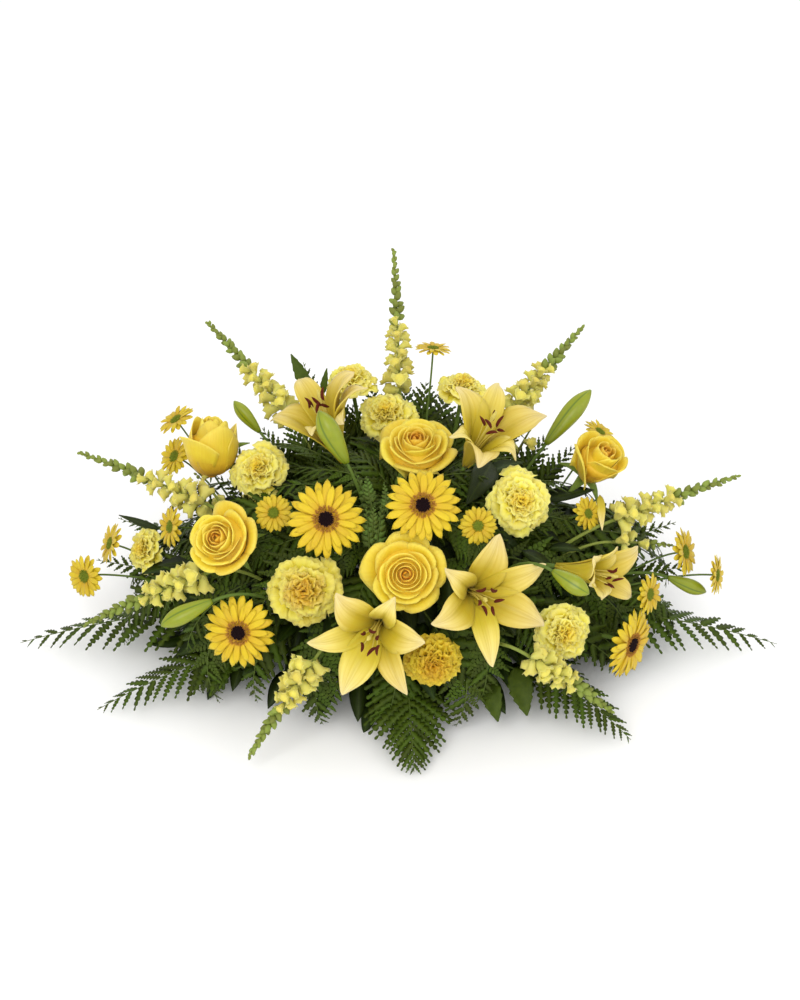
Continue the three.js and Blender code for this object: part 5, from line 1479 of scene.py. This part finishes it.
def make_carnations(settings):
    rng = np.random.default_rng(SEED)
    inner = [ruffled_petal("carnation petal", rng, 0.45, 0.11, 6, 9) for _ in range(4)]
    outer = [ruffled_petal("carnation petal", rng, 0.6, 0.08, 8, 13) for _ in range(3)]
    for k, bloom in enumerate(CARNATIONS):
        place = bloom_frame("carnation", bloom, 70 * k)
        radius = bloom.width / 2
        material = "golden carnation petal" if bloom.name == "carnation_front_left" else "carnation petal"
        pile = Pile()
        seed = SEED + 30 * k
        dome(pile, place, radius * 0.56, radius * 0.1, radius * 0.3, material)
        ruffled_head(pile, place, inner, material, radius, settings.carnation_petals, seed, CARNATION_HEART)
        ruffled_head(pile, place, outer, material, radius, 18, seed + 9, CARNATION_RIM)
        pile.piece(f"{bloom.name}_petals", "carnation_petals", bloom.name)
    small = [ruffled_petal("pompon petal", rng, 0.34, 0.13, 6, 7) for _ in range(3)]
    pile = Pile()
    place = bloom_frame("pompon", POMPON)
    ruffled_head(pile, place, small, "pompon petal", POMPON.width / 2, 105, SEED, POMPON_HEAD)
    pile.piece("pompon_front_petals", "pompon_petals", POMPON.name)
    forget(*inner, *outer, *small)


def make_lilies(settings):
    for k, bloom in enumerate(LILIES):
        rng = np.random.default_rng(SEED + 50 + k)
        place = flower_frame(bloom_spot(bloom), facing(bloom.right, bloom.up), LILY_SPINS[k])
        pile = Pile()
        lily_flower(pile, place, bloom, LILY_OPENINGS[k], rng)
        pile.piece(f"{bloom.name}_tepals", "lily_tepals", bloom.name)


def daisy_head(pile, place, width, ray, floret, count, seed):
    radius = width / 2
    whorls = [(count, 0.8, 0.02, 0.3, 0.0), (count, 0.72, 0.16, 0.34, math.pi / count)]
    rays(pile, place, ray, "daisy ray", radius, 0.2, whorls, 0.07, seed)
    dome(pile, place, radius * 0.3, radius * 0.3, radius * 0.1, "daisy disc")
    head(
        pile, place, floret, "daisy disc", radius, radii=(0, 0.28), heights=(0.4, 0.34),
        tilts=(1.5, 0.9), scales=(0.07, 0.07), Count=60, Crowding=0.5, Uneven=0.1, Seed=seed,
    )
    lift = np.eye(4)
    lift[2, 3] = radius * 0.2
    cup(pile, place @ lift, radius, 0.22)


def make_daisies(settings):
    ray = strap_petal("daisy ray", 6, 0.36, 0.04, 0.015, 0.04, 0.08)
    floret = peg("daisy disc")
    sprays = {**DAISY_SPRAYS, "daisies_back": [back_bloom("daisies_back")]}
    for number, (name, blooms) in enumerate(sprays.items()):
        pile = Pile()
        places = [bloom_frame("daisy", bloom, 7 * number) for bloom in blooms]
        for k, (bloom, place) in enumerate(zip(blooms, places)):
            seed = SEED + 100 * number + 10 * k
            daisy_head(pile, place, bloom.width, ray, floret, settings.daisy_rays, seed)
        foot = np.mean([place[:3, 3] for place in places], axis=0)
        axis = unit(np.sum([place[:3, 2] for place in places], axis=0))
        root = stem_root(foot)
        fork = root + (foot - axis * 20 - root) * 0.6
        add_stem(pile, root, fork, fork - root, 1.6, end_share=0.9)
        for place in places:
            axis = place[:3, 2]
            add_stem(pile, fork, place[:3, 3] + axis * 3, axis, 1.4, end_share=0.8)
        pile.piece(f"{name}_spray", "daisy_spray", name)
    forget(ray, floret)


def spire_line(spire):
    """The lowest floret's place, the bend and the tip of a snapdragon."""
    low = spot_on_mound(*spire.low, spire.lift)
    tip = spot(*spire.tip, spire.near) if spire.high is None else spot_at_height(*spire.tip, spire.high)
    return low, (low + tip) / 2 + vec(0, 0, SPIRE_BOW), tip


# Side shoots: the snapdragon, foot and tip as column, row and lift, florets and buds
SIDE_SHOOTS = [
    ("snapdragon_left", (220, 502, -20), (196, 474, -4), 3, 2),
    ("snapdragon_right", (612, 542, -30), (674, 546, 0), 5, 12),
    ("snapdragon_upper_right", (516, 456, -40), (534, 424, -20), 3, 2),
]


def make_snapdragons(settings):
    floret, calyx, bud = floret_shapes()
    petals, green = finish("snapdragon petal"), finish("spire green")
    for k, spire in enumerate(SPIRES):
        pile = Pile()
        looks = dict(
            Floret=floret, Calyx=calyx, Bud=bud, Petal_finish=petals, Green_finish=green, Seed=SEED + 20 * k
        )
        low, bend, tip = spire_line(spire)
        florets = settings.spire_florets
        grow(pile, "Snapdragon spire", Start=low, Bend=bend, Tip=tip, Florets=florets, **looks)
        add_stem(pile, None, low, tip - low, 2.0, "spire green", 1.0)
        for name, foot, end, florets, buds in SIDE_SHOOTS:
            if name == spire.name:
                foot, end = spot_on_mound(*foot), spot_on_mound(*end)
                grow(
                    pile, "Snapdragon spire", Start=foot, Bend=(foot + end) / 2 + UP * 3, Tip=end,
                    Florets=florets, Buds=buds, Floret_share=0.9 if buds < 5 else 0.6, Floret_length=19.0,
                    Bud_length=9.0, **looks,
                )
                add_stem(pile, None, foot, end - foot, 1.6, "spire green", 1.0)
        pile.piece(f"{spire.name}_spire", "snapdragon_spire", spire.name)
    forget(floret, calyx, bud)


def add_frond(pile, leaves, start, bend, tip, up, width, pairs, bare, cut, seed, material="fern leaflet"):
    """A frond, with cut leaflets on a share of it from its base and whole ones from there to its tip."""
    grow(
        pile, "Fern frond", Leaflet=leaves[0], Tip_leaflet=leaves[1], Leaf_finish=finish(material),
        Rib_finish=finish("stem green"), Start=start, Bend=bend, Tip=tip, Up=up, Pairs=pairs,
        Bare_stalk=bare, Cut_share=cut, Width=float(width), Seed=seed,
    )


def make_ferns(settings):
    leaves = toothed_leaflet("fern leaflet", 0.14, 8, 0.35), toothed_leaflet("fern leaflet", 0.15, 5, 0.6)
    for k, frond in enumerate(RIM_FRONDS + BACK_FRONDS):
        tip = vec(*frond.tip) if frond.height is None else spot_at_height(*frond.tip, frond.height)
        start = vec(*frond.start)
        outward = tip - start
        inside = start - unit(outward * vec(1, 1, 0)) * RIM_INSIDE
        bend = (start + tip) / 2
        bend[2] = start[2] + RIM_ARCH
        bare = RIM_STALK / np.linalg.norm(outward)
        pile = Pile()
        add_frond(
            pile, leaves, inside, bend, tip, vec(0, 0, 1), frond.width, settings.fern_pairs, bare,
            CUT_SHARE, SEED + k,
        )
        pile.piece(f"{frond.name}_frond", "fern_leaf", frond.name)
    forget(*leaves)


# The greens fill a higher half ellipsoid than the flowers', which lies further back
GREENS_SIZE = (348, 200, 285)
GREENS_MIDDLE = (0, 30, 45)
# Rings of filling fronds: elevation in degrees, how many, how far out, and their width
FILL_ROWS = [
    (2, 20, 0.98, 100), (14, 19, 0.93, 96), (28, 18, 0.91, 92), (43, 16, 0.91, 88), (59, 12, 0.92, 84),
    (76, 7, 0.92, 80),
]
# Fronds that show between the flowers: the tip's column, row and lift over the mound, and the width
TIP_FRONDS = [
    (303, 362, -40, 74), (336, 392, -40, 100), (372, 386, -40, 110), (405, 384, -40, 120),
    (426, 382, -40, 120), (446, 390, -40, 120), (468, 402, -40, 110), (352, 404, -40, 110),
    (414, 408, -40, 120), (516, 424, -40, 100), (548, 436, -40, 100), (576, 446, -40, 84),
    (262, 428, -40, 90), (286, 418, -40, 96), (300, 440, -30, 110), (232, 446, -40, 80),
    (118, 518, -20, 60), (96, 560, -10, 76), (128, 598, -10, 90), (166, 486, -30, 74), (214, 474, -24, 60),
    (226, 492, -24, 60), (676, 522, -20, 74), (640, 500, -30, 80), (690, 566, -10, 80), (664, 606, -10, 90),
    (646, 540, -30, 90), (322, 470, -60, 90), (376, 478, -60, 80), (498, 470, -60, 90),
    (548, 520, -60, 110), (272, 452, -30, 100),
]
# A frond that would hide a flower, nearer to its edge than the margin, sinks by the next of these depths
FILL_SINKS, FILL_MARGIN = (0, 0.05, 0.1, 0.16, 0.22), 14
TIP_SINKS, TIP_MARGIN = (0, 20, 40, 60, 80), 8
# Heights over a flower's foot between which a frond would hide it
HIDES_FROM, HIDES_TO = -10, 120
BACK_FROM = 60
# Sprigs of small round leaves between the upper gerberas: foot and tip as column, row and lift, and width
SPRIGS = [
    ((376, 520, -30), (354, 470, 0), 24), ((372, 508, -20), (366, 476, 6), 22),
    ((370, 552, -30), (366, 506, 2), 24), ((376, 552, -30), (382, 504, 2), 26),
    ((388, 516, -24), (384, 482, 0), 18), ((372, 538, -24), (374, 506, 6), 22),
]
# Lone leaves: foot and tip as column, row and nearness, half width in mm, look and teeth
LONE_LEAVES = [
    ((492, 462, 90), (466, 505, 150), 17, "broad leaf", 0),
    ((160, 529, 50), (119, 515, 45), 4.5, "broad leaf", 0),
    ((458, 512, 96), (428, 556, 120), 16, "broad leaf", 0),
    ((516, 668, 122), (527, 716, 138), 17, "fern leaflet", 6),
    ((486, 676, 122), (498, 722, 142), 15, "fern leaflet", 6),
    ((312, 396, 30), (291, 354, 34), 10, "fern leaflet", 6),
    ((322, 396, 30), (327, 368, 34), 5, "fern leaflet", 5),
    ((600, 495, 96), (602, 531, 122), 5.5, "lily tepal", 0),
]
# Layers of leaves under the flowers: count, how large towards the greens' mound, and the leaf's length
COVER_LAYERS = [(150, 0.6, 66), (280, 0.77, 56)]


def on_greens(turn, elevation, size):
    """A place on the greens' mound by turn in radians and elevation in degrees, and the way out there."""
    rise = math.radians(elevation)
    out = vec(math.cos(rise) * math.cos(turn), math.cos(rise) * math.sin(turn), math.sin(rise))
    return out * vec(*GREENS_SIZE) * size + vec(*GREENS_MIDDLE), unit(out / vec(*GREENS_SIZE))


def bloom_places():
    """The foot, axis and half width of every flower, which the greens keep clear of."""
    places = [(place[:3, 3], place[:3, 2], bloom.width / 2) for _, bloom, place in all_blooms()]
    for bloom in LILIES:
        axis = facing(bloom.right, bloom.up)
        places.append((bloom_spot(bloom) + axis * bloom.width * 0.2, axis, bloom.width * 0.42))
    for bloom in sum(DAISY_SPRAYS.values(), []):
        place = bloom_frame("daisy", bloom)
        places.append((place[:3, 3], place[:3, 2], bloom.width / 2))
    return places


def hides_a_bloom(points, places, margin):
    """Whether a frond along these points would lie over a flower's face."""
    for foot, axis, radius in places:
        off = points - foot
        height = off @ axis
        aside = np.linalg.norm(off - height[:, None] * axis, axis=1)
        if np.any((height > HIDES_FROM) & (height < HIDES_TO) & (aside < radius + margin)):
            return True
    return False


def quarter(point):
    """Which of the four piles of greens this place belongs to."""
    return ("back" if point[1] > BACK_FROM else "front") + ("_left" if point[0] < 0 else "_right")


def bent_line(start, middle, tip, shares):
    """Places along a frond's rib."""
    steps = shares[:, None]
    return start * (1 - steps) ** 2 + 2 * middle * steps * (1 - steps) + tip * steps**2


def fill_fronds(piles, leaves, pairs):
    """Fronds that come out of the mound and lie down over it, between and behind the flowers."""
    rng = np.random.default_rng(SEED + 7)
    places = bloom_places()
    for row, (elevation, count, size, width) in enumerate(FILL_ROWS):
        for k in range(count):
            turn = 2 * math.pi * (k + 0.5 * (row % 2) + rng.uniform(-0.25, 0.25)) / count
            level = elevation + rng.uniform(-6, 6)
            sway = rng.uniform(-0.3, 0.3)
            for sink in FILL_SINKS:
                tip, _ = on_greens(turn + sway, level - 13, size - sink)
                middle, up = on_greens(turn + sway / 2, level + 4, size - sink + 0.05)
                start, _ = on_greens(turn, level + 22, (size - sink) * 0.62)
                line = bent_line(start, middle, tip, np.linspace(0.25, 1, 6))
                if not hides_a_bloom(line, places, FILL_MARGIN):
                    break
            tip[2] = max(tip[2], 14)
            start[2] = min(start[2], 190)
            cut = 0.6 if (k + row) % 2 == 0 else 0.0
            seed = SEED + 40 * row + k
            add_frond(piles[quarter(tip)], leaves, start, middle, tip, up, width, pairs, 0.25, cut, seed)


def tip_fronds(piles, leaves, pairs):
    """Fronds whose tips show between and behind the flowers, facing the viewer."""
    rng = np.random.default_rng(SEED + 9)
    places = bloom_places()
    for k, (column, row, lift, width) in enumerate(TIP_FRONDS):
        for sink in TIP_SINKS:
            tip = spot_on_mound(column, row, lift - sink)
            start = vec(tip[0] * 0.45, tip[1] * 0.35 + 10, max(40, tip[2] * 0.45))
            middle = (start + tip) / 2 + TOWARD * 14 + vec(0, 0, 10)
            line = bent_line(start, middle, tip, np.linspace(0.4, 1, 6))
            if not hides_a_bloom(line, places, TIP_MARGIN):
                break
        up = unit(TOWARD + RIGHT * rng.uniform(-0.3, 0.3) + UP * rng.uniform(-0.2, 0.2))
        seed = SEED + 300 + k
        add_frond(piles[quarter(tip)], leaves, start, middle, tip, up, width, pairs, 0.2, 0.0, seed)


def make_fronds(settings):
    """The greens' fronds, sprigs and lone leaves, in one pile for each quarter of the mound."""
    leaves = fern_leaflet("fern leaflet", 5), toothed_leaflet("fern leaflet", 0.17, 4)
    piles = {name: Pile() for name in ("front_left", "front_right", "back_left", "back_right")}
    fill_fronds(piles, leaves, settings.fill_pairs)
    tip_fronds(piles, leaves, settings.fill_pairs + 5)
    sprig = plain_leaf("stem green", 0.36)
    for k, (foot, tip, width) in enumerate(SPRIGS):
        foot, tip = spot_on_mound(*foot), spot_on_mound(*tip)
        bend = (foot + tip) / 2 + TOWARD * 6
        add_frond(
            piles["front_left"], (sprig, sprig), foot, bend, tip, TOWARD, width, 7, 0.1, 0.0,
            SEED + 700 + k, "stem green",
        )
    for k, (foot, tip, half, look, teeth) in enumerate(LONE_LEAVES):
        foot, tip = spot(*foot), spot(*tip)
        pile = piles[quarter(foot)]
        leaf_blade(pile, foot, tip, half, look, 0.1 + 0.09 * k, teeth)
        root = stem_root(foot)
        stalk = smooth_line([root, foot * 0.6 + root * 0.4, foot + (tip - foot) * 0.04], 8)
        pile.tube(stalk, np.linspace(1.4, 0.9, 8), "stem green", 5)
    for side, pile in piles.items():
        pile.piece(f"greens_fronds_{side}", "greens", "greens")
    forget(*leaves, sprig)


def make_cover():
    """Layers of leaves that close the mound under the flowers."""
    leaf = plain_leaf("broad leaf", 0.2)
    cover = Pile()
    for k, (count, size, length) in enumerate(COVER_LAYERS):
        across, deep, high = (whole * size for whole in GREENS_SIZE)
        grow(
            cover, "Leaf cover", Leaf=leaf, Finish=finish("broad leaf"), Count=count, Across=across,
            Deep=deep, High=high, Back=float(GREENS_MIDDLE[1]), Base=20.0, Start=1.3 * k,
            Length=float(length), Seed=SEED + k,
        )
    cover.piece("greens_leaves", "greens", "greens")
    forget(leaf)


# Radii of the stems, and how far a stem's end lies under the foot of its flower
BLOOM_STEM, LILY_STEM, BUD_STEM = 2.8, 3.0, 2.2
STEM_GAP = 2


def make_stems():
    """Every stem with what it carries under its flower, and the lily buds."""
    stems = Pile()
    for kind, bloom, place in all_blooms():
        foot, axis = place[:3, 3], place[:3, 2]
        add_stem(stems, stem_root(foot), foot - axis * STEM_GAP, axis, BLOOM_STEM)
        if kind == "rose":
            sepals(stems, place, bloom.width / 2, 5, bloom.width * 0.4)
        elif kind in ("carnation", "pompon"):
            cup(stems, place, bloom.width / 2, 0.2)
    for bloom in LILIES:
        add_stem(stems, None, bloom_spot(bloom), facing(bloom.right, bloom.up), LILY_STEM)
    for bud in BUDS:
        foot = spot_on_mound(*bud.foot, bud.lift)
        tip = spot(*bud.tip, nearness(foot) + bud.nearer)
        lily_bud(stems, foot, tip, bud.width)
        add_stem(stems, stem_root(foot), foot + (tip - foot) * 0.05, tip - foot, BUD_STEM)
    stems.piece("greens_stems", "greens", "greens")


def make_greens(settings):
    make_fronds(settings)
    make_cover()
    make_stems()


def make_holder(settings):
    """The tray and the foam are right as the frame has them, and get their finishes."""
    for node, material in (("saddle_tray", "tray plastic"), ("floral_foam", "floral foam")):
        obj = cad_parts[node]
        obj.data.materials.clear()
        obj.data.materials.append(finish(material))


CAMERA_LENS = 90
SENSOR_WIDTH = 36
FAR_END = 100
FLOOR_HALF = 6000
FLOOR_DEPTH = 20
# Soft lights: name, place, size, share of the key light's power, and colour
LIGHTS = (
    ("key light", (-0.7, -1.7, 2.1), 1.9, 1.0, (1, 0.99, 0.96)),
    ("fill light", (1.8, -1.2, 1.6), 2.2, 0.4, (0.96, 0.98, 1)),
    ("rim light", (0.3, 2.0, 1.8), 2.0, 0.35, (1, 1, 1)),
)
LIGHTS_AIM = (0, 0, 0.1)


def make_stage(settings):
    scene = bpy.context.scene
    scene.view_settings.view_transform = "Standard"
    camera = bpy.data.objects.new("camera", bpy.data.cameras.new("camera"))
    camera.data.lens = CAMERA_LENS
    camera.data.sensor_width = SENSOR_WIDTH
    camera.data.clip_end = FAR_END
    eye = (MIDDLE + TOWARD * DISTANCE) * MM
    camera.matrix_world = Matrix([*zip(RIGHT, UP, TOWARD, eye), (0, 0, 0, 1)])
    scene.collection.objects.link(camera)
    scene.camera = camera

    for name, place, size, share, colour in LIGHTS:
        light = bpy.data.lights.new(name, "AREA")
        light.shape = "DISK"
        light.size = size
        light.energy = settings.key_power * share
        light.color = colour
        lamp = bpy.data.objects.new(name, light)
        aim = Vector(LIGHTS_AIM) - Vector(place)
        lamp.matrix_world = Matrix.Translation(place) @ aim.to_track_quat("-Z", "Y").to_matrix().to_4x4()
        scene.collection.objects.link(lamp)

    world = bpy.data.worlds.new("studio")
    world.use_nodes = True
    sky = world.node_tree.nodes["Background"]
    sky.inputs["Color"].default_value = (1, 1, 1, 1)
    sky.inputs["Strength"].default_value = settings.room_light
    scene.world = world

    pile = Pile()
    corners = vec(-1, -1, 1, -1, 1, 1, -1, 1).reshape(4, 2) * FLOOR_HALF
    pile.skin(np.array([[(x, y, z) for x, y in corners] for z in (-FLOOR_DEPTH, 0)], float), "floor")
    floor = bpy.data.objects.new("floor", pile.build("floor"))
    scene.collection.objects.link(floor)


class SpraySettings(bpy.types.PropertyGroup):
    """What a user of the spray would change."""

    rose_petals: IntProperty(name="Rose petals", description="Petals of each rose", default=26, min=8, max=60)
    gerbera_rays: IntProperty(
        name="Gerbera rays", description="Rays in a gerbera's outer whorl", default=21, min=8, max=40
    )
    carnation_petals: IntProperty(
        name="Carnation petals", description="Petals in each carnation's heart", default=56, min=9, max=90
    )
    daisy_rays: IntProperty(
        name="Daisy rays", description="Rays in each of a daisy's two whorls", default=13, min=6, max=30
    )
    spire_florets: IntProperty(
        name="Florets", description="Open florets of each snapdragon", default=20, min=3, max=40
    )
    fern_pairs: IntProperty(
        name="Fern leaflets", description="Pairs of leaflets on a rim frond", default=14, min=4, max=24
    )
    fill_pairs: IntProperty(
        name="Filling leaflets", description="Pairs of leaflets on a filling frond", default=9, min=3, max=20
    )
    key_power: FloatProperty(
        name="Key light", description="Power of the main soft light", default=30.0, min=0, unit="POWER"
    )
    room_light: FloatProperty(
        name="Room light", description="Strength of the even light from all round", default=0.88, min=0
    )


class SprayMaker:
    """What the spray's operators share: each calls its own maker with the settings."""

    bl_options = {"REGISTER", "UNDO"}

    def execute(self, context):
        type(self).maker(context.scene.spray_settings)
        return {"FINISHED"}


class SPRAY_OT_stage(SprayMaker, bpy.types.Operator):
    """Set up the pale floor, the soft lights and the camera"""

    bl_idname = "spray.stage"
    bl_label = "Stage"
    maker = make_stage


class SPRAY_OT_holder(SprayMaker, bpy.types.Operator):
    """Finish the saddle tray and the floral foam"""

    bl_idname = "spray.holder"
    bl_label = "Tray and foam"
    maker = make_holder


class SPRAY_OT_roses(SprayMaker, bpy.types.Operator):
    """Make the roses"""

    bl_idname = "spray.roses"
    bl_label = "Roses"
    maker = make_roses


class SPRAY_OT_gerberas(SprayMaker, bpy.types.Operator):
    """Make the gerberas and their discs"""

    bl_idname = "spray.gerberas"
    bl_label = "Gerberas"
    maker = make_gerberas


class SPRAY_OT_carnations(SprayMaker, bpy.types.Operator):
    """Make the carnations and the pompon"""

    bl_idname = "spray.carnations"
    bl_label = "Carnations"
    maker = make_carnations


class SPRAY_OT_lilies(SprayMaker, bpy.types.Operator):
    """Make the lilies"""

    bl_idname = "spray.lilies"
    bl_label = "Lilies"
    maker = make_lilies


class SPRAY_OT_daisies(SprayMaker, bpy.types.Operator):
    """Make the daisy sprays"""

    bl_idname = "spray.daisies"
    bl_label = "Daisies"
    maker = make_daisies


class SPRAY_OT_snapdragons(SprayMaker, bpy.types.Operator):
    """Make the snapdragon spires"""

    bl_idname = "spray.snapdragons"
    bl_label = "Snapdragons"
    maker = make_snapdragons


class SPRAY_OT_ferns(SprayMaker, bpy.types.Operator):
    """Make the fern fronds round the rim"""

    bl_idname = "spray.ferns"
    bl_label = "Ferns"
    maker = make_ferns


class SPRAY_OT_greens(SprayMaker, bpy.types.Operator):
    """Make the stems, buds, leaves and filling fronds"""

    bl_idname = "spray.greens"
    bl_label = "Greens"
    maker = make_greens


OPERATORS = (
    SPRAY_OT_stage, SPRAY_OT_holder, SPRAY_OT_roses, SPRAY_OT_gerberas, SPRAY_OT_carnations,
    SPRAY_OT_lilies, SPRAY_OT_daisies, SPRAY_OT_snapdragons, SPRAY_OT_ferns, SPRAY_OT_greens,
)


class SPRAY_PT_panel(bpy.types.Panel):
    """Lists the spray's settings and what makes its pieces"""

    bl_label = "Casket Spray"
    bl_idname = "SPRAY_PT_panel"
    bl_space_type = "VIEW_3D"
    bl_region_type = "UI"
    bl_category = "Spray"

    def draw(self, context):
        settings = context.scene.spray_settings
        for name in SpraySettings.__annotations__:
            self.layout.prop(settings, name)
        for operator in OPERATORS:
            self.layout.operator(operator.bl_idname)


CLASSES = (SpraySettings, *OPERATORS, SPRAY_PT_panel)


def register():
    for one in CLASSES:
        bpy.utils.register_class(one)
    bpy.types.Scene.spray_settings = PointerProperty(type=SpraySettings)


def unregister():
    del bpy.types.Scene.spray_settings
    for one in reversed(CLASSES):
        bpy.utils.unregister_class(one)


def main():
    register()
    for operator in OPERATORS:
        getattr(bpy.ops.spray, operator.bl_idname.split(".")[1])()


if __name__ == "__main__":
    main()
